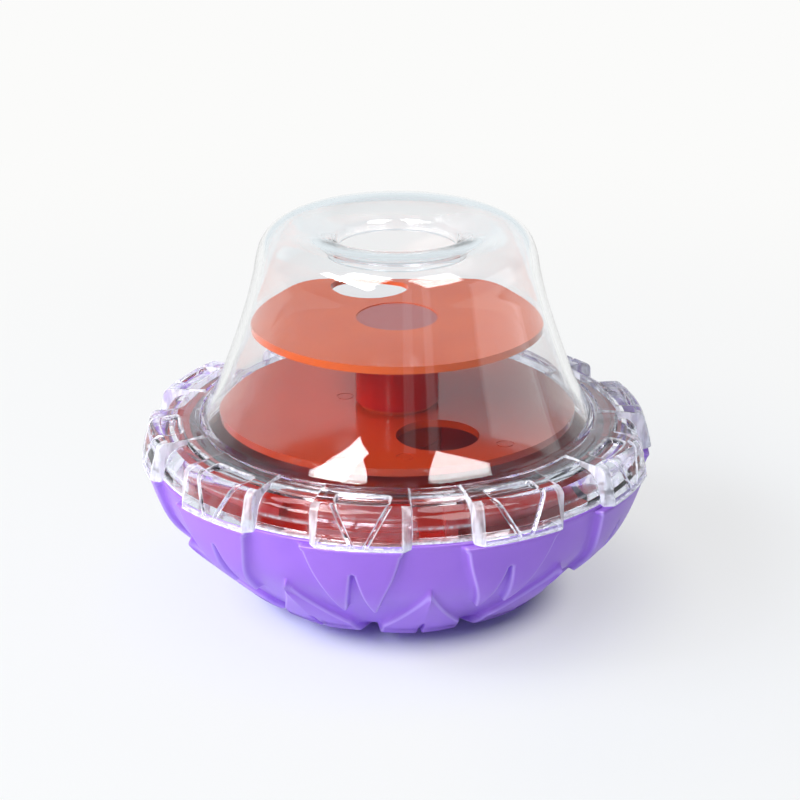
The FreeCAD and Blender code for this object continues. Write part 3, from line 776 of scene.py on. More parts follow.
class Finishes:
    """One material for each finish."""

    def __init__(self) -> None:
        """Makes the materials."""
        self.of = {finish: finish.value.make() for finish in Finish}

    def dress(self, piece: Piece, finish: Finish, slot: Slot) -> None:
        """Gives a piece a finish."""
        piece.data.materials.clear()
        piece.data.materials.append(self.of[finish])

    def hand_over(self, piece: Piece, finish: Finish, slot: Slot, body: Body, node: str) -> None:
        """Dresses a finished piece, and puts it on its body in the place of a CAD node."""
        self.dress(piece, finish, slot)
        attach(piece, body.value)
        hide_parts(node)
        LOG.info("%s: %d faces", piece.name, len(piece.data.polygons))


@dataclass(frozen=True)
class Lamp:
    """A rectangular lamp that looks at the toy.

    Attributes:
        name: The lamp's name.
        azimuth: Its direction in degrees from the camera's side, positive to the right.
        elevation: How high it is, in degrees.
        distance: How far from the toy it is.
        size: Its width and height.
        radiance: How bright its face is, where 1 is white.
        roll: How far it is turned in its own plane, in degrees.
        lights: Whether it lights surfaces; if not, only gloss shows it.
        mirrored: Whether gloss and clear plastic show it.
    """

    name: str
    azimuth: float
    elevation: float
    distance: float
    size: tuple[float, float]
    radiance: float
    roll: float = 0.0
    lights: bool = True
    mirrored: bool = True

    def add(self) -> None:
        """Puts the lamp in its place."""
        turn, tilt = math.radians(self.azimuth), math.radians(self.elevation)
        level = math.cos(tilt)
        out = Vector((math.sin(turn) * level, -math.cos(turn) * level, math.sin(tilt)))
        data = bpy.data.lights.new(self.name, "AREA")
        data.shape = "RECTANGLE"
        data.size, data.size_y = self.size
        data.energy = self.radiance * math.pi * self.size[0] * self.size[1]
        lamp = bpy.data.objects.new(self.name, data)
        lamp.location = Vector(LAMP_AIM) + out * self.distance
        rolled = Quaternion((0.0, 0.0, 1.0), math.radians(self.roll))
        lamp.rotation_euler = ((-out).to_track_quat("-Z", "Y") @ rolled).to_euler()
        lamp.visible_camera = False
        lamp.visible_diffuse = self.lights
        lamp.visible_glossy = lamp.visible_transmission = self.mirrored
        bpy.context.scene.collection.objects.link(lamp)


@dataclass
class Studio:
    """The floor, the lamps and the camera of the photograph.

    The pairs are where a change of brightness starts and ends: over the floor in metres, and in the
    world as parts of a direction.
    """

    camera_place: tuple = (0.00086, -0.7421, 0.3499)
    camera_tilt: float = 68.71
    lens: float = 119.2
    sensor: float = 36.0
    view_end: float = 50.0
    floor_half: float = 6.0
    floor_colour: tuple = linear(226, 236, 250)
    floor_white: tuple = linear(251, 251, 250)
    shadow_fades: tuple = ((0.037, 0.056, 0.6), (0.05, 0.10, 0.26), (0.10, 0.5, 0.14))
    right_side: Point = (0.0, 0.05)
    right_reach: Point = (0.09, 0.24)
    right_shadow: float = 0.10
    unlit_turn: float = 0.35
    unlit_front: Point = (0.2, 0.6)
    white: tuple = (0.97, 0.975, 0.98, 1.0)
    soft: tuple = (0.93, 0.95, 1.0, 1.0)
    soft_light: float = 0.31
    backdrop: tuple = (0.80, 0.86, 0.89, 1.0)
    backdrop_turn: float = 0.07
    backdrop_side: Point = (0.36, 0.50)
    backdrop_top: Point = (0.42, 0.70)
    horizon_side: Point = (0.0, 0.3)
    horizon_top: Point = (0.0, 0.12)
    front_side: Point = (-0.3, 0.2)
    mirrored_dim: tuple = (0.025, 0.028, 0.033, 1.0)
    seen_dim: tuple = (0.74, 0.80, 0.84, 1.0)
    seen_front: tuple = (0.36, 0.30, 0.40, 1.0)
    lamps: tuple = (
        Lamp("side_left", -80.0, 34.0, 1.2, (0.6, 0.5), 8.0, mirrored=False),
        Lamp("panel_right", 84.0, 4.0, 1.3, (1.1, 0.7), 0.9, lights=False),
        Lamp("strip_near", 8.0, 8.0, 1.3, (0.16, 0.9), 0.35, lights=False),
        Lamp("strip_far", 23.0, 8.0, 1.3, (0.14, 0.9), 0.5, lights=False),
        Lamp("box_left_low", -44.4, 35.8, 1.3, (1.157, 0.233), 15.0, roll=-24.8),
        Lamp("box_left_high", -35.0, 47.0, 1.3, (0.676, 0.783), 13.5, roll=-9.6, lights=False),
        Lamp("box_right", 38.4, 43.2, 1.3, (0.72, 0.7), 10.0, roll=9.0, lights=False),
    )

    def build(self) -> None:
        """Sets up the whole studio."""
        bpy.context.scene.view_settings.view_transform = "Standard"
        self.add_camera()
        self.add_floor()
        self.add_world()
        for lamp in self.lamps:
            lamp.add()

    def add_camera(self) -> None:
        """The camera at the photograph's place and angle."""
        data = bpy.data.cameras.new("camera")
        data.lens = self.lens
        data.sensor_width = self.sensor
        data.clip_end = self.view_end
        camera = bpy.data.objects.new("camera", data)
        camera.location = self.camera_place
        camera.rotation_euler = (math.radians(self.camera_tilt), 0.0, 0.0)
        bpy.context.scene.collection.objects.link(camera)
        bpy.context.scene.camera = camera

    def add_floor(self) -> None:
        """A pale floor that fades into a white background and keeps the toy's shadow."""
        bpy.ops.object.select_all(action="DESELECT")
        bpy.ops.mesh.primitive_plane_add(size=2 * self.floor_half)
        floor = bpy.context.object
        floor.name = "floor"
        material, nodes = new_material("floor_paper")
        where = nodes.place()
        matt = nodes.principled(Base_Color=self.floor_colour, Specular_IOR_Level=0.1,
                                Roughness=0.9 + nodes.noise(where, 300.0) * 0.05)
        away, across = where.length(), where.part("X")
        fades = [away.rise(low, high) * share for low, high, share in self.shadow_fades]
        right = across.rise(*self.right_side) * (1 - away.rise(*self.right_reach))
        whiteness = (sum(fades[1:], fades[0]) - right * self.right_shadow).most(0.0)
        front = (across.size() * self.unlit_turn - where.part("Y")).rise(*self.unlit_front)
        unlit = nodes.light_path("Is Reflection Ray") * front
        seen = nodes.light_path("Is Camera Ray").most(nodes.light_path("Is Glossy Ray"))
        seen = seen.most(nodes.light_path("Is Transmission Ray"))
        colour = nodes.mix_colour(unlit, self.floor_white, self.mirrored_dim)
        white = nodes.add("ShaderNodeEmission", {}, {"Color": colour, "Strength": 1.0})
        nodes.finish(nodes.mix_shader(seen * whiteness, matt, white))
        floor.data.materials.append(material)

    def add_world(self) -> None:
        """A white backdrop behind the toy, a dim room in front of it, and a soft light for the rest."""
        world = bpy.data.worlds.new("studio")
        world.use_nodes = True
        bpy.context.scene.world = world
        nodes = NodeGraph(world.node_tree)
        way = nodes.add("ShaderNodeTexCoord", output="Generated")
        across, back, up = (way.part(axis) for axis in "XYZ")
        behind = (back - across * self.backdrop_turn).rise(*self.backdrop_side)
        horizon = back.rise(*self.horizon_side) * (1 - up.rise(*self.horizon_top))
        backdrop = (behind * (1 - up.rise(*self.backdrop_top))).most(horizon)
        passed = nodes.light_path("Is Transmission Ray")
        seen_above = nodes.mix_colour(back.rise(*self.front_side), self.seen_front, self.seen_dim)
        dim = nodes.mix_colour(passed, self.mirrored_dim, seen_above)
        room = nodes.background(nodes.mix_colour(backdrop, dim, self.backdrop))
        soft = nodes.background(self.soft, self.soft_light)
        shader = nodes.mix_shader(nodes.light_path("Is Glossy Ray").most(passed), soft, room)
        seen = nodes.background(self.white)
        shader = nodes.mix_shader(nodes.light_path("Is Camera Ray"), shader, seen)
        nodes.finish(shader, "ShaderNodeOutputWorld")


@dataclass
class PetalBowl:
    """The purple bowl: ten big petals under the seam and ten low petals, the leaves, between them.

    Lengths are in millimetres and angles in degrees. Pairs are radius and height, those of the lips
    and tops are offsets from a corner, and those of the edges, the tip and the notch are half width
    and height. The fields from steep on say how the mesh's columns gather along the outlines: how
    far from a line they lie, how much room they need, and where they go below the petals' tips.
    """

    finishes: Finishes
    petals: int = 10
    first_angle: float = -99.9
    rim_r: float = 73.8
    top_z: float = 45.85
    petal_top_z: float = 44.95
    well_lip: tuple = ((0.0, -0.5), (0.15, -0.12), (0.5, 0.0))
    rim_lip: tuple = ((-1.0, 0.0), (-0.4, 0.0), (-0.1, -0.12), (0.0, -0.4))
    rim_seam: tuple = ((-0.03, 0.2), (-0.05, 0.04))
    valley_top: tuple = ((-0.1, -0.05), (-0.13, -0.2), (-0.2, -0.6))
    petal_top: tuple = ((-0.6, 0.0), (-0.15, -0.13), (-0.02, -0.5))
    curve: tuple = ((76.2, 44.95), (73.91, 37.89), (68.50, 26.88), (60.96, 18.92), (53.04, 11.46),
                    (45.03, 5.0))
    relief: float = 2.4
    wall: float = 2.6
    wall_margins: Point = (0.3, 1.9)
    inner_wall_z: Point = (13.0, 36.0)
    well_r: float = 70.1
    ledge_r: float = 67.3
    ledge_z: float = 43.0
    base_z: float = 9.2
    foot_r: float = 16.0
    floor_z: float = 3.0
    leaf_bottom_z: float = 5.0
    leaf_bottom_r: float = 43.0
    base_shares: tuple = (0.0, 0.04, 0.12, 0.3, 0.5, 0.7, 0.85)
    petal_edge: tuple = ((14.4, 44.95), (11.9, 36.45), (8.3, 27.95), (4.9, 19.45))
    petal_tip: Point = (3.9, 19.45)
    notch: Point = (0.8, 35.25)
    leaf_edge: tuple = ((0.0, 27.2), (4.7, 18.5), (11.2, 9.6))
    slit_z: float = 12.5
    slit_run: float = 3.0
    slit_depth: float = 1.2
    ridge_rise: float = 1.06
    leaf_rises: Point = (0.92, 0.54)
    leaf_rise_z: Point = (8.0, 26.0)
    boss_r: float = 6.0
    boss_z: float = 18.5
    pilot_r: float = 2.05
    pilot_z: float = 6.5
    row_gap: float = 0.62
    outline_gap: float = 0.6
    past_outline: Point = (-20.0, 80.0)
    steep: tuple = (2.2, 1.2, 0.7, 0.35)
    soft: tuple = (0.3, 0.8)
    before_middle: tuple = (1.1, 0.75, 0.45)
    rooms: tuple = (2.4, 5.2, 2.2)
    notch_room: float = 0.85
    spread: float = 0.3
    low_fade: float = 9.0
    low_shares: Point = (0.25, 0.55)
    inside_z: float = 20.0
    least_r: float = 5.0

    def build(self) -> None:
        """Makes the bowl."""
        rows = self.rows()
        table, edges = self.table(rows, self.columns(rows))
        piece = shape_round("petal_bowl", table, self.petals, edges)
        shade(piece, 60.0)
        self.finishes.hand_over(piece, Finish.PURPLE, Slot.PURPLE, Body.BASE, "bowl")

    def rows(self) -> Rows:
        """The half sections of the bowl in step with each other.

        Returns:
            The valley's, the petals' and the leaves' points, the way along the wall, and which rows
            the petals and the leaves rise from.
        """
        skin = spaced(list(self.curve), self.row_gap)
        outward = -normals(skin)
        skin = np.array(skin)
        valley = skin - outward * self.relief
        low, high = self.wall_margins
        kept = (valley[:, 1] > self.base_z + low) & (valley[:, 1] < self.top_z - high)
        wall_skin, wall_valley = skin[kept], valley[kept]
        inner = self.inner_rows(wall_skin - outward[kept] * (self.relief + self.wall))
        start, start_skin = self.rim_rows()
        base_r = float(np.interp(self.base_z, valley[::-1, 1], valley[::-1, 0]))
        under, drop, rest = self.base_rows(base_r, tuple(wall_skin[-1]))
        valley_rows = np.concatenate([inner, start, wall_valley, under, rest])
        down = np.hypot(*np.diff(np.concatenate([start_skin[-1:], wall_skin, drop]), axis=0).T)
        first, end = len(inner) + len(start), len(inner) + len(start) + len(down)
        way = np.full(len(valley_rows), -50.0)
        way[len(inner):first] = 0.0
        way[first:end] = np.cumsum(down)
        way[end:] = way[end - 1] + 5.0
        places = np.arange(len(valley_rows))
        return {"valley": valley_rows, "way": way,
                "petal": np.concatenate([inner, start_skin, wall_skin, under, rest]),
                "leaf": np.concatenate([inner, start, wall_skin, drop, rest]),
                "on_wall": (places >= first - 3) & (places < first + len(wall_skin)),
                "on_leaf": (places >= first) & (places < end)}

    def rim_rows(self) -> tuple[np.ndarray, np.ndarray]:
        """The rim and the top of the wall, between the petals and across them."""
        rim = beside((self.well_r, self.top_z), *self.well_lip)
        rim += beside((self.rim_r, self.top_z), *self.rim_lip)
        rim += beside((self.rim_r, self.petal_top_z), *self.rim_seam)
        return (np.array(rim + beside((self.rim_r, self.petal_top_z), *self.valley_top)),
                np.array(rim + beside(self.curve[0], *self.petal_top)))

    def base_rows(self, base_r: float, wall_end: Point) -> tuple[np.ndarray, np.ndarray, np.ndarray]:
        """The rounded base under the wall.

        Args:
            base_r: The valley's radius where the base starts.
            wall_end: The last point of the petals' wall.

        Returns:
            The base as far as the leaves go down, the leaves' skin there, and the rest of the base.
        """
        low = self.leaf_bottom_z
        middle = ((base_r + self.foot_r) / 2 + 1.0, self.base_z / 2 - 1.0)
        bend = np.array(arc((base_r, self.base_z), middle, (self.foot_r, 0.0), 40))
        meet_r = bend[len(bend[bend[:, 1] > low])][0]
        under_r = base_r + (meet_r - base_r) * np.array(self.base_shares)
        under = np.stack([under_r, np.interp(under_r, bend[::-1, 0], bend[::-1, 1])], axis=1)
        end = spaced([wall_end, (49.0, 8.0), (45.0, low)], 0.5)
        drop = [end[len(end) * quarter // 4] for quarter in (1, 2, 3)]
        drop += [(45.15, low + 0.16), (44.6, low), (self.leaf_bottom_r, low),
                 ((self.leaf_bottom_r + meet_r) / 2, low)]
        rest = bend[bend[:, 1] <= low]
        rest = rest[::2] if len(rest) % 2 else rest[1::2]
        foot = [(self.foot_r - 0.4, 0.0), (self.foot_r / 2, 0.0), (0.0, 0.0)]
        return under, np.array(drop), np.concatenate([rest[rest[:, 1] > 0.02], foot])

    def inner_rows(self, offsets: np.ndarray) -> np.ndarray:
        """The inside, from the middle boss up to the ledge that the tray lies on.

        Args:
            offsets: The wall's skin, set in by its thickness.

        Returns:
            The inside's points.
        """
        low, high = self.inner_wall_z
        wall = offsets[(offsets[:, 1] < high) & (offsets[:, 1] > low)][::6]
        edge = (wall[-1][0] - 3.0, wall[-1][1] - 2.6)
        middle = ((edge[0] + self.foot_r) / 2 + 1.0, (edge[1] + self.floor_z) / 2 - 1.0)
        floor = arc(edge, middle, (self.foot_r, self.floor_z), 8)
        inner = [(0.0, self.pilot_z), (self.pilot_r, self.pilot_z), (self.pilot_r, self.boss_z)]
        inner += beside((self.boss_r, self.boss_z), (-0.3, 0.0), (0.0, -0.3))
        inner += beside((self.boss_r, self.floor_z), (0.0, 0.5), (0.5, 0.0))
        inner += floor[::-1] + [tuple(point) for point in wall[::-1]] + [(66.0, 38.0)]
        inner += [(self.ledge_r - 0.05, 41.5)] + beside((self.ledge_r, self.ledge_z), (0.0, -0.2), (0.2, 0.0))
        inner += beside((self.well_r, self.ledge_z), (-0.05, 0.0), (0.0, 0.4))
        return np.array(inner)

    def laid_flat(self, rows: Rows, points: list[Point]) -> list[Point]:
        """An outline's points with their heights turned into ways down the petals' curve."""
        leaf, way = rows["leaf"][rows["on_leaf"]], rows["way"][rows["on_leaf"]]
        return [(across, float(np.interp(-height, -leaf[:, 1], way))) for across, height in points]

    def outlines(self, rows: Rows) -> tuple[np.ndarray, np.ndarray]:
        """The outlines of a petal and of a leaf, laid flat."""
        edge = spaced(list(self.petal_edge), self.outline_gap)
        side = self.laid_flat(rows, edge + [self.petal_tip, self.notch])
        half, down = side[-1]
        apex = arc((half, down), (0.0, down - half * 1.3), (-half, down), 7)[1:-1]
        left = [(-across, way) for across, way in side[::-1]]
        above, below = self.past_outline
        top = self.petal_edge[0][0]
        petal = side + apex + left + [(-top, above), (top, above)]
        side = self.laid_flat(rows, spaced(list(self.leaf_edge), self.outline_gap))
        left = [(-across, way) for across, way in side[::-1]][:-1]
        foot = self.leaf_edge[-1][0]
        return np.array(petal), np.array(side + [(foot, below), (-foot, below)] + left)

    def columns(self, rows: Rows) -> np.ndarray:
        """The angles of half a sector's columns, row by row, gathered along the outlines."""
        half_pitch = math.pi / self.petals
        petal, leaf = (np.array(spaced(list(edge), self.outline_gap))[::-1]
                       for edge in (self.petal_edge, self.leaf_edge))
        steep, soft = np.array(self.steep), np.array(self.soft)
        before_middle = np.array(self.before_middle)
        petal_room, valley_room, leaf_room = self.rooms
        notch_share, side_share = self.low_shares
        (tip_half, tip_z), (notch_half, notch_z) = self.petal_tip, self.notch
        top_z, top_r = self.curve[0][1], rows["leaf"][rows["on_leaf"]][0][0]
        result = []
        for leaf_row, valley_row, on_leaf in zip(rows["leaf"], rows["valley"], rows["on_leaf"]):
            if on_leaf:
                radius, height, scale = leaf_row[0], min(max(leaf_row[1], 0.0), top_z), 1.0
            else:
                height = top_z if valley_row[1] > self.inside_z else self.leaf_bottom_z
                radius = max(valley_row[0], self.least_r)
                scale = min(radius / top_r, 1.0)
            span = half_pitch * radius
            share = min(max((notch_z - height) / (notch_z - tip_z), 0.0), 1.0)
            notch = notch_half + (tip_half - notch_half) * share
            notch += max(0.0, height - notch_z - 1.0) * self.spread
            side = float(np.interp(height, petal[:, 1], petal[:, 0]))
            low = float(np.interp(height, leaf[:, 1], leaf[:, 0]))
            low = max(low, 1.0 + self.spread * max(0.0, height - self.leaf_edge[0][1]))
            below = min(max((tip_z - height) / self.low_fade, 0.0), 1.0)
            notch += (notch_share * (span - low) - notch) * below
            side += (side_share * (span - low) - side) * below
            border = span - low
            at_notch = steep * scale
            at_notch = at_notch * min(1.0, notch * self.notch_room / at_notch.max())
            in_petal = soft * min(1.0, (side - notch) / petal_room) * scale
            at_border = steep * min(1.0, (border - side) / valley_room) * scale
            in_leaf = min(1.0, low / leaf_room)
            result.append(np.concatenate([
                [0.0], notch - at_notch, gathered(notch, side, in_petal, in_petal[::-1], 6),
                gathered(side, border, at_border[::-1], at_border, 4),
                gathered(border, span, soft * in_leaf, before_middle * in_leaf, 4), [span]]) / radius)
        return np.array(result)

    def table(self, rows: Rows, columns: np.ndarray) -> tuple[np.ndarray, np.ndarray]:
        """Angle, radius and height of every point of the skin, and how much painted highlight each gets."""
        pitch = 2 * math.pi / self.petals
        petal, leaf = self.outlines(rows)
        reach, height = rows["leaf"][:, 0][:, None], rows["leaf"][:, 1]
        way = np.repeat(rows["way"][:, None], columns.shape[1], axis=1)
        across_leaf = reach * np.sin(math.pi / self.petals - columns)
        petal_gap = signed_distance(np.stack([reach * np.sin(columns), way], axis=-1), petal)
        leaf_gap = signed_distance(np.stack([across_leaf, way], axis=-1), leaf)
        on_wall, on_leaf = rows["on_wall"][:, None], rows["on_leaf"][:, None]
        flank = ([-2.0, -1.2, -0.7, -0.35, 0.0, 0.25, 0.7], [0.0, 0.04, 0.16, 0.46, 0.88, 0.98, 1.0])
        petal_rise = np.interp(petal_gap, *flank) * on_wall
        leaf_rise = np.interp(leaf_gap, *flank) * on_leaf * self.roof(across_leaf, height)
        valley = rows["valley"][:, None, :]
        place = valley + (rows["petal"][:, None, :] - valley) * petal_rise[..., None]
        place = place + (rows["leaf"][:, None, :] - valley) * leaf_rise[..., None]
        # Painted highlight: a band along the petals' and leaves' outlines, lightened by the bowl's material.
        line = ([-0.3, 0.0, 0.25, 0.75], [0.0, 1.0, 0.8, 0.0])
        edge = np.maximum(np.interp(petal_gap, *line) * on_wall, np.interp(leaf_gap, *line) * on_leaf)
        return mirrored(columns, [place], edge, self.first_angle, pitch)

    def roof(self, across: np.ndarray, height: np.ndarray) -> np.ndarray:
        """How far a leaf rises, as a share of the relief: a ridge in its middle, with a slit low down.

        Args:
            across: How far each point is from the leaf's middle.
            height: How high each row is.

        Returns:
            One share for each row and column.
        """
        low = np.array(spaced(list(self.leaf_edge), self.outline_gap))[::-1]
        leaf_half = np.maximum(np.interp(height, low[:, 1], low[:, 0]), 0.8)[:, None]
        ridge = 1.0 - np.clip(np.abs(across) / leaf_half, 0.0, 1.0)
        edge = np.interp(height, self.leaf_rise_z, self.leaf_rises)[:, None]
        slit = np.interp(np.abs(across), [0.45, 0.75, 1.1], [1.0, 0.25, 0.0])
        fade = np.interp(height, [self.slit_z - self.slit_run, self.slit_z], [1.0, 0.0])[:, None]
        return edge + (self.ridge_rise - edge) * ridge - slit * fade * self.slit_depth / self.relief


@dataclass
class LockRing:
    """The thick clear ring with ten grips, each with a slot and two sloping grooves.

    Lengths are in millimetres and angles in degrees, and pairs are radius and height.
    """

    finishes: Finishes
    grips: int = 10
    first_angle: float = -98.0
    bore_r: float = 59.3
    top_z: float = 57.3
    plate: float = 2.9
    ledge_r: float = 65.6
    step: float = 1.4
    shoulder: Point = (72.6, 50.6)
    skirt_r: float = 73.8
    bottom_z: float = 46.15
    cavity_r: float = 68.5
    grip_inner: Point = (60.6, 58.1)
    grip_top: Point = (71.6, 57.1)
    grip_shoulder: Point = (74.8, 54.3)
    grip_foot: Point = (77.0, 45.25)
    grip_half: float = 11.23
    chamfer: float = 2.6
    slot_inner_r: float = 65.8
    slot_outer_r: float = 71.2
    slot_half: float = 7.5
    slot_floor_z: float = 56.1
    slot_corner: float = 1.4
    groove_halves: tuple = (8.0, 7.3, 6.1, 2.1)
    groove_end_z: float = 46.85
    groove_fade: float = 0.6
    groove_reach: float = 0.8
    groove_depth: float = 0.8
    lug_half: float = 13.0
    lug_r: float = 64.5
    lug_low_z: float = 46.3
    lug_high_z: float = 48.3

    def build(self) -> None:
        """Makes the ring."""
        ring, grip, kinds = self.rows()
        halves = self.groove_line(grip, kinds)
        columns = self.columns(grip, kinds, halves)
        table, edges = self.table(ring, grip, kinds, halves, columns)
        piece = shape_round("clear_lock_ring", table, self.grips // 2, edges)
        shade(piece, 40.0)
        self.finishes.hand_over(piece, Finish.CLEAR_EDGES, Slot.CLEAR, Body.LOCK_RING, "lock_ring")

    def deck_z(self, out: float) -> float:
        """How high a grip's top is at a radius."""
        (inner_r, inner_z), (outer_r, outer_z) = self.grip_inner, self.grip_top
        return inner_z + (outer_z - inner_z) * (out - inner_r) / (outer_r - inner_r)

    def rows(self) -> tuple[np.ndarray, np.ndarray, list[str]]:
        """The closed half sections between and across the grips, in step, and what each row is."""
        top, under, bottom = self.top_z, self.top_z - self.plate, self.bottom_z
        inner_r = self.grip_inner[0]
        slot_in, slot_out, skirt_r = self.slot_inner_r, self.slot_outer_r, self.skirt_r
        rows: list[tuple[Point, Point, str]] = []

        def add(kind: str, ring: list[Point], grip: list[Point]) -> None:
            """Rows of one kind."""
            rows.extend((first, second, kind) for first, second in zip(ring, grip))

        bore = beside((self.bore_r, top), (0.0, -0.35), (0.1, -0.1), (0.35, 0.0)) + [(inner_r - 0.15, top)]
        add("bore", bore, bore)
        add("lip", beside((inner_r, top), (0.0, 0.0), (0.15, 0.0), (0.35, 0.0), (0.6, 0.0)),
            beside((inner_r, top), (-0.03, 0.12)) + beside(self.grip_inner, (0.0, -0.35), (0.12, -0.1))
            + self.deck([inner_r + 0.45]))
        ledge = [(62.2, top), (63.4, top), (64.4, top)]
        ledge += beside((self.ledge_r, top), (-0.4, 0.0), (-0.15, -0.03), (0.0, -0.12), (0.07, -0.22),
                        (0.2, -0.45), (0.4, -0.8), (0.6, -1.2))
        outs = [62.2, 63.6, 64.7] + [slot_in + step for step in (-0.45, -0.2, -0.07, 0.0, 0.1, 0.3, 0.8)]
        add("deck", ledge, self.deck(outs))
        step = (self.ledge_r + self.step / 2, top - self.step)
        slope = arc(step, between(self.shoulder, step, (0.28, 0.66)), self.shoulder, 30)
        turn = between(self.grip_shoulder, self.grip_top, (0.28, 0.72))
        corner = arc(self.grip_top, turn, self.grip_shoulder, 11)
        outs = [slot_in + step for step in (1.8, 2.9)]
        outs += [slot_out + step for step in (-0.9, -0.3, -0.1, 0.0, 0.07, 0.2)]
        places = np.round(np.linspace(0, len(slope) - 1, len(outs) + len(corner))).astype(int)
        add("deck", [slope[place] for place in places], self.deck(outs))
        add("corner", [slope[place] for place in places[len(outs):]], corner)
        belly = between(self.grip_shoulder, self.grip_foot, (0.5, 0.5))
        face = arc(self.grip_shoulder, (belly[0] + 0.2, belly[1]), self.grip_foot, 24)[1:-1]
        add("face", [between(self.shoulder, (skirt_r, bottom), (share, share))
                     for share in np.linspace(0.0, 0.95, len(face) + 1)[1:]], face)
        add("foot", beside((skirt_r, bottom), (-0.01, 0.25), (-0.1, 0.08), (-0.35, 0.0), (-0.7, 0.0),
                           (-1.0, 0.0), (-1.3, 0.0), (-1.7, 0.0)),
            beside(self.grip_foot, (-0.05, 0.18), (-0.2, 0.04), (-0.5, 0.0))
            + beside((skirt_r, self.grip_foot[1]), (0.35, 0.0), (0.3, 0.1))
            + beside((skirt_r, bottom), (0.28, -0.1), (-0.1, 0.0)))
        inside = beside((self.cavity_r, bottom), (0.3, 0.0), (0.05, 0.05))
        inside += beside((self.cavity_r, self.lug_low_z), (0.0, -0.03), (0.0, 0.03), (0.0, 0.3))
        inside += beside((self.cavity_r, self.lug_high_z), (0.0, -0.3), (0.0, -0.03), (0.0, 0.03), (0.0, 0.8))
        inside += [(self.cavity_r, 51.0)] + beside((self.cavity_r, under), (0.0, -1.2), (-1.2, 0.0))
        inside += [(66.0, under), (64.0, under), (61.5, under)]
        inside += beside((self.bore_r, under), (0.3, 0.0), (0.05, 0.08), (0.0, 0.35), (0.0, 1.4))
        add("inside", inside, inside)
        ring, grip, kinds = zip(*rows)
        return np.array(ring), np.array(grip), list(kinds)

    def deck(self, outs: list[float]) -> list[Point]:
        """Points of a grip's top at some radii."""
        return [(out, self.deck_z(out)) for out in outs]

    def groove_line(self, grip: np.ndarray, kinds: list[str]) -> np.ndarray:
        """How far from a grip's middle the line of its slot's end and its groove is, row by row."""
        first, turn, shoulder, last = self.groove_halves
        corner = [index for index, kind in enumerate(kinds) if kind == "corner"]
        line = np.full(len(kinds), self.slot_half)
        line[corner] = np.interp(np.linspace(0, 1, len(corner)), [0.0, 0.5, 1.0], [first, turn, shoulder])
        below = np.arange(len(kinds)) > corner[-1]
        line[below] = np.interp(grip[below, 1], [self.groove_end_z, self.grip_shoulder[1]], [last, shoulder])
        line[np.array(kinds) == "inside"] = (first + last) / 2
        return line

    def columns(self, grip: np.ndarray, kinds: list[str], halves: np.ndarray) -> np.ndarray:
        """The angles of half a sector's columns, row by row, gathered along slots, grooves and sides."""
        half_pitch = math.pi / self.grips
        edge = math.radians(self.grip_half)
        lug = math.radians(self.lug_half)
        groove = np.array([-1.25, -1.0, -0.8, -0.4, 0.0, 0.4, 0.8, 1.0, 1.25]) * self.groove_reach
        slot = np.array([-0.7, -0.35, -0.2, -0.07, 0.0, 0.07, 0.2, 0.35, 0.7])
        result = []
        for (radius, _), kind, half in zip(grip, kinds, halves):
            line = half + (slot if kind in ("bore", "lip", "deck") else groove)
            side = edge * radius
            parts = list(np.linspace(0.0, line[0], 4)[:-1]) + list(line)
            parts += list(np.linspace(line[-1], side - 3.0, 4)[1:-1])
            parts += [side - inward for inward in
                      (3.0, 2.6, 2.1, 1.2, 0.6, 0.3, 0.12, 0.0, -0.12, -0.45)]
            angles = [part / radius for part in parts]
            spare = half_pitch - angles[-1]
            result.append(angles + [lug - 0.002, lug + 0.002, angles[-1] + spare * 0.72, half_pitch])
        return np.array(result)

    def table(self, ring: np.ndarray, grip: np.ndarray, kinds: list[str], halves: np.ndarray,
              columns: np.ndarray) -> tuple[np.ndarray, np.ndarray]:
        """Angle, radius and height of every point of the ring, and how much painted highlight each gets."""
        kind = np.array(kinds)
        reach = grip[:, 0][:, None]
        across = reach * columns
        body = np.repeat(grip[:, None, :], columns.shape[1], axis=1)
        fall = self.deck_z(body[..., 0]) - self.slot_floor_z
        gap = signed_distance(np.stack([across, body[..., 0]], axis=-1), self.slot_outline())
        sunk = np.interp(gap, [-0.12, 0.0, 0.12, 0.4], [0.0, 0.12, 0.85, 1.0]) * fall
        body[..., 1] -= sunk * np.isin(kind, ("deck", "corner"))[:, None]

        grooved = np.isin(kind, ("corner", "face")) & (grip[:, 1] > self.groove_end_z - self.groove_fade)
        away = np.abs(across - halves[:, None])
        cut_in = np.clip(1.0 - away / self.groove_reach, 0.0, 1.0) * self.groove_depth * grooved[:, None]
        body += normals([tuple(point) for point in grip])[:, None, :] * cut_in[..., None]

        edge = self.grip_foot[0] * math.radians(self.grip_half) - self.chamfer
        flat = self.grip_foot[0] - np.maximum(self.grip_foot[0] * columns - edge, 0.0)
        body[..., 0] = np.where(np.isin(kind, ("corner", "face", "foot"))[:, None],
                                np.minimum(body[..., 0], flat), body[..., 0])
        inward = reach * math.radians(self.grip_half) - across
        rise = np.interp(inward, [-0.45, -0.12, 0.0, 0.12, 0.3, 0.6], [0.0, 0.02, 0.5, 0.9, 0.985, 1.0])
        place = ring[:, None, :] + (body - ring[:, None, :]) * rise[..., None]
        edge = self.painted_highlight_marks(ring, grip, kind, gap, away, inward)
        in_lug = (ring[:, 1] > self.lug_low_z) & (ring[:, 1] < self.lug_high_z) & (kind == "inside")
        lugged = place.copy()
        lugged[in_lug[:, None] & (columns < math.radians(self.lug_half)), 0] = self.lug_r
        return mirrored(columns, [lugged, place], edge, self.first_angle, 2 * math.pi / self.grips)

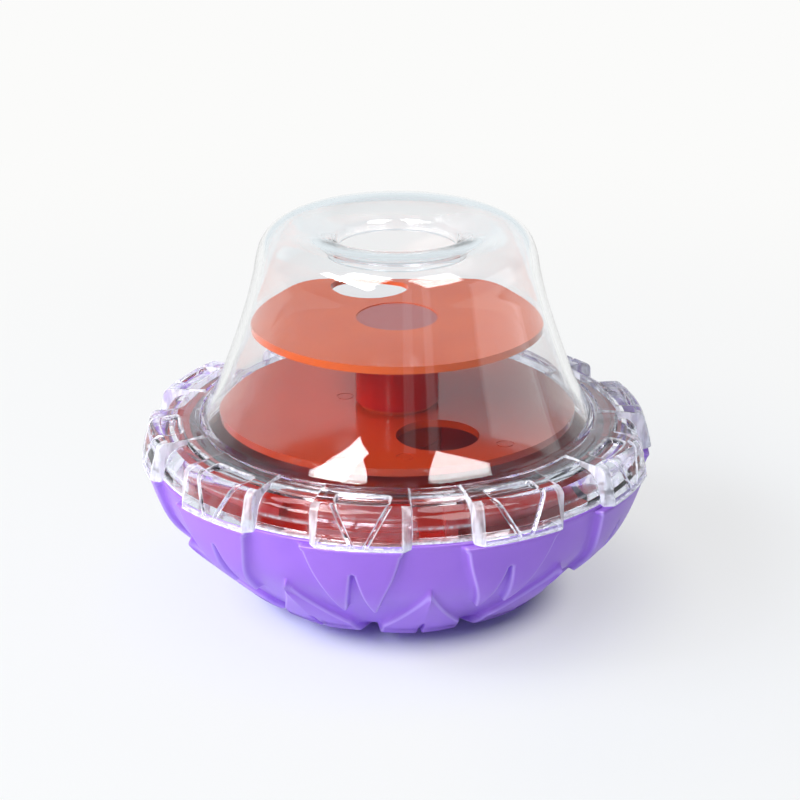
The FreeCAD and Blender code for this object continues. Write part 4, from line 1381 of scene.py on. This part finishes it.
    def painted_highlight_marks(self, ring: np.ndarray, grip: np.ndarray, kind: np.ndarray, gap: np.ndarray,
                   away: np.ndarray, inward: np.ndarray) -> np.ndarray:
        """How much painted highlight each point gets, from 0 to 1.

        Args:
            ring: The half section between the grips.
            grip: The half section across them.
            kind: What each row is.
            gap: The distance to the slot's outline, positive inside.
            away: The distance to the line of a groove.
            inward: The distance from a grip's side, positive inside.

        Returns:
            One mark for each row and column.
        """
        def strongest(*marks: np.ndarray) -> np.ndarray:
            """The strongest mark at each point."""
            return np.max(np.broadcast_arrays(*marks), axis=0)

        def around(corner: Point, reach: Point, mark: float) -> np.ndarray:
            """A painted highlight mark for the rows that lie near a corner between the grips."""
            return np.interp(np.hypot(*(ring - corner).T), reach, [mark, 0.0])[:, None]

        in_grip = inward > 0.1
        outside = (kind != "inside")[:, None]
        top = np.isin(kind, ("deck", "corner"))[:, None]
        front = np.isin(kind, ("corner", "face", "foot"))[:, None]
        grooved = front & (grip[:, 1] > self.groove_end_z - self.groove_fade)[:, None]
        from_shoulder = np.abs(grip[:, 1] - self.grip_shoulder[1])
        above_foot = grip[:, 1] - self.grip_foot[1]
        # Painted highlights on the grips: along the slot, the grooves, the chamfered sides, the shoulder and
        # the bottom line.
        on_grip = strongest(
            np.interp(gap, [-0.6, -0.42, -0.05, 0.1], [0.0, 0.95, 0.95, 0.0]) * top,
            np.interp(away, [0.35, 0.6, 0.82, 0.98], [0.0, 0.9, 0.9, 0.0]) * grooved,
            np.interp(inward - self.chamfer, [-0.3, 0.0, 0.25], [0.72, 1.0, 0.0]) * front,
            np.interp(from_shoulder, [0.1, 0.3], [0.35, 0.0])[:, None] * front,
            np.interp(above_foot, [0.45, 0.8], [1.0, 0.0])[:, None] * outside,
            # A faint painted sheen over the whole front of each grip.
            0.07 * front)
        # Painted highlights between the grips: at the ledge's corner, the shoulder and the bottom line.
        between_grips = strongest(
            around((self.ledge_r, self.top_z), (0.3, 0.6), 0.5),
            around(self.shoulder, (0.3, 0.7), 0.4),
            np.interp(ring[:, 1] - self.bottom_z, [0.5, 0.9], [1.0, 0.0])[:, None])
        # Painted highlight along each grip's side.
        side = np.interp(np.abs(inward), [0.12, 0.5], [0.9, 0.0])
        return strongest(on_grip * in_grip, between_grips * outside * ~in_grip, side * outside)

    def slot_outline(self) -> np.ndarray:
        """The slot's outline across a grip, across and out."""
        inner, outer, half, corner = self.slot_inner_r, self.slot_outer_r, self.slot_half, self.slot_corner
        run = rounded([(0.0, inner), (half, inner), (half, outer), (0.0, outer)], [corner, corner], 6)
        return np.array(run + [(-across, out) for across, out in run[::-1]][1:-1])


@dataclass
class ClearDome:
    """The clear bell whose top dips into a round mouth, on its flat flange.

    Lengths are in millimetres; the curve's pairs are shares of the spread and of the height.
    """

    finishes: Finishes
    foot_r: float = 59.0
    foot_z: float = 57.3
    height: float = 59.3
    throat_r: float = 17.6
    throat_z: float = 111.2
    throat_end_z: float = 108.3
    wall: float = 2.2
    curve: tuple = ((0.894, 0.130), (0.797, 0.299), (0.713, 0.467), (0.640, 0.636), (0.595, 0.771),
                    (0.574, 0.847), (0.527, 0.924), (0.436, 0.978), (0.315, 1.0), (0.179, 0.987),
                    (0.063, 0.949))
    flange_r: float = 64.2
    flange_z: float = 54.1
    tray_z: float = 52.3
    point_gap: float = 1.1
    lip_cut: float = 0.7
    flange_cut: float = 0.3
    steps: int = 224

    def build(self) -> None:
        """Makes the dome."""
        piece = spin("clear_bell", self.section(), self.steps)
        shade(piece, 50.0)
        self.finishes.hand_over(piece, Finish.CLEAR, Slot.CLEAR, Body.DOME, "clear_dome")

    def section(self) -> list[Point]:
        """The closed half section."""
        spread = self.foot_r - self.throat_r
        given = [(self.foot_r, self.foot_z)]
        given += [(self.throat_r + spread * out, self.foot_z + self.height * up) for out, up in self.curve]
        given.append((self.throat_r, self.throat_z))
        outer = spaced(given, self.point_gap)
        inner = [tuple(point) for point in (np.array(outer) - normals(outer) * self.wall)[1:-1]
                 if point[0] > self.throat_r + self.wall - 0.2]
        end = self.throat_end_z
        mouth = rounded([outer[-1], (self.throat_r, end), (self.throat_r + self.wall, end), inner[-1]],
                        [self.lip_cut] * 2, 5)
        flange = rounded([inner[0], (self.foot_r - self.wall, self.tray_z), (self.flange_r, self.tray_z),
                          (self.flange_r, self.flange_z), (self.foot_r, self.flange_z), outer[0]],
                         [self.flange_cut] * 4, 4)
        return outer[1:] + mouth[1:-1] + inner[::-1] + flange[1:]


@dataclass
class MazeDiscs:
    """The two orange discs, each with its treat hole.

    Lengths are in millimetres and angles in degrees; a mark is given by its radius and angle.
    """

    finishes: Finishes
    thickness: float = 2.3
    bore_r: float = 11.1
    hub_r: float = 13.4
    hub_height: float = 8.0
    tube_r: float = 12.5
    tube_gap: float = 1.4
    lower_r: float = 52.6
    lower_z: float = 60.2
    upper_r: float = 43.0
    upper_z: float = 87.5
    hole_r: float = 12.1
    hole_out: float = 29.3
    lower_angle: float = -66.4
    upper_angle: float = 107.0
    lower_edge: float = 0.4
    upper_edge: float = 0.32
    sharp: float = 35.0
    mark_r: float = 2.6
    mark_width: float = 0.35
    mark_depth: float = 0.2
    marks: tuple = ((16.4, 163.5), (45.7, -47.5), (43.5, -87.0))
    recess_inset: float = 0.3
    recess_depth: float = 0.2
    web: float = 1.1
    steps: int = 256

    def build(self) -> None:
        """Makes both discs."""
        self.build_lower()
        self.build_upper()

    def treat_hole(self, angle: float, top_z: float) -> Piece:
        """The tool that cuts a treat hole."""
        clear_selection()
        bpy.ops.mesh.primitive_cylinder_add(vertices=128, radius=self.hole_r * MM, depth=12 * MM,
                                            location=on_circle(self.hole_out, angle, top_z))
        return bpy.context.object

    def mark_tool(self, out: float, angle: float, top_z: float) -> Piece:
        """The tool that cuts one pin mark's thin ring."""
        inner_r, low, high = self.mark_r - self.mark_width, top_z - self.mark_depth, top_z + 1.0
        section = [(inner_r, low), (self.mark_r, low), (self.mark_r, high), (inner_r, high)]
        tool = spin("mark_tool", section, 40)
        tool.location = on_circle(out, angle)
        return tool

    def build_lower(self) -> None:
        """The wide disc on its hub, with the round marks of the mould's pins."""
        top, under = self.lower_z, self.lower_z - self.thickness
        foot = under - self.hub_height
        section = [(self.bore_r, foot), (self.hub_r, foot), (self.hub_r, under), (self.lower_r, under),
                   (self.lower_r, top), (self.bore_r, top)]
        piece = spin("lower_maze_disc", section, self.steps)
        cut(piece, self.treat_hole(self.lower_angle, top))
        soften(piece, self.lower_edge, self.sharp)
        for out, angle in self.marks:
            cut(piece, self.mark_tool(out, angle, top))
        even_shading(piece, self.sharp)
        self.finishes.hand_over(piece, Finish.ORANGE, Slot.ORANGE, Body.LOWER_DISC, "lower_disc")

    def build_upper(self) -> None:
        """The smaller disc with the tube below it."""
        top, under = self.upper_z, self.upper_z - self.thickness
        web_top, recess_r = top - self.recess_depth, self.tube_r - self.recess_inset
        foot = self.lower_z + self.tube_gap
        section = [(0.0, web_top - self.web), (self.bore_r, web_top - self.web), (self.bore_r, foot),
                   (self.tube_r, foot), (self.tube_r, under), (self.upper_r, under), (self.upper_r, top),
                   (recess_r, top), (recess_r, web_top), (0.0, web_top)]
        piece = spin("upper_maze_disc", section, self.steps)
        cut(piece, self.treat_hole(self.upper_angle, top))
        soften(piece, self.upper_edge, self.sharp)
        even_shading(piece, self.sharp)
        self.finishes.hand_over(piece, Finish.TUBE_DISC, Slot.ORANGE, Body.UPPER_DISC, "upper_disc")


@dataclass
class Internals:
    """The CAD nodes that keep their own meshes."""

    finishes: Finishes

    def build(self) -> None:
        """Dresses each node."""
        for node, finish, slot in (("ballast_weight", Finish.IRON, Slot.IRON),
                                   ("ballast_screws", Finish.STEEL, Slot.STEEL),
                                   ("spindle", Finish.ORANGE, Slot.ORANGE),
                                   ("spindle_screw", Finish.STEEL, Slot.STEEL),
                                   ("catch_tray", Finish.TRAY, Slot.ORANGE)):
            self.finishes.dress(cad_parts[node], finish, slot)
            LOG.info("dressed %s", node)


def main() -> None:
    """Builds the studio and the toy."""
    logging.basicConfig(level=logging.INFO, format="%(message)s")
    Studio().build()
    finishes = Finishes()
    Internals(finishes).build()
    PetalBowl(finishes).build()
    MazeDiscs(finishes).build()
    ClearDome(finishes).build()
    LockRing(finishes).build()


if __name__ == "__main__":
    main()
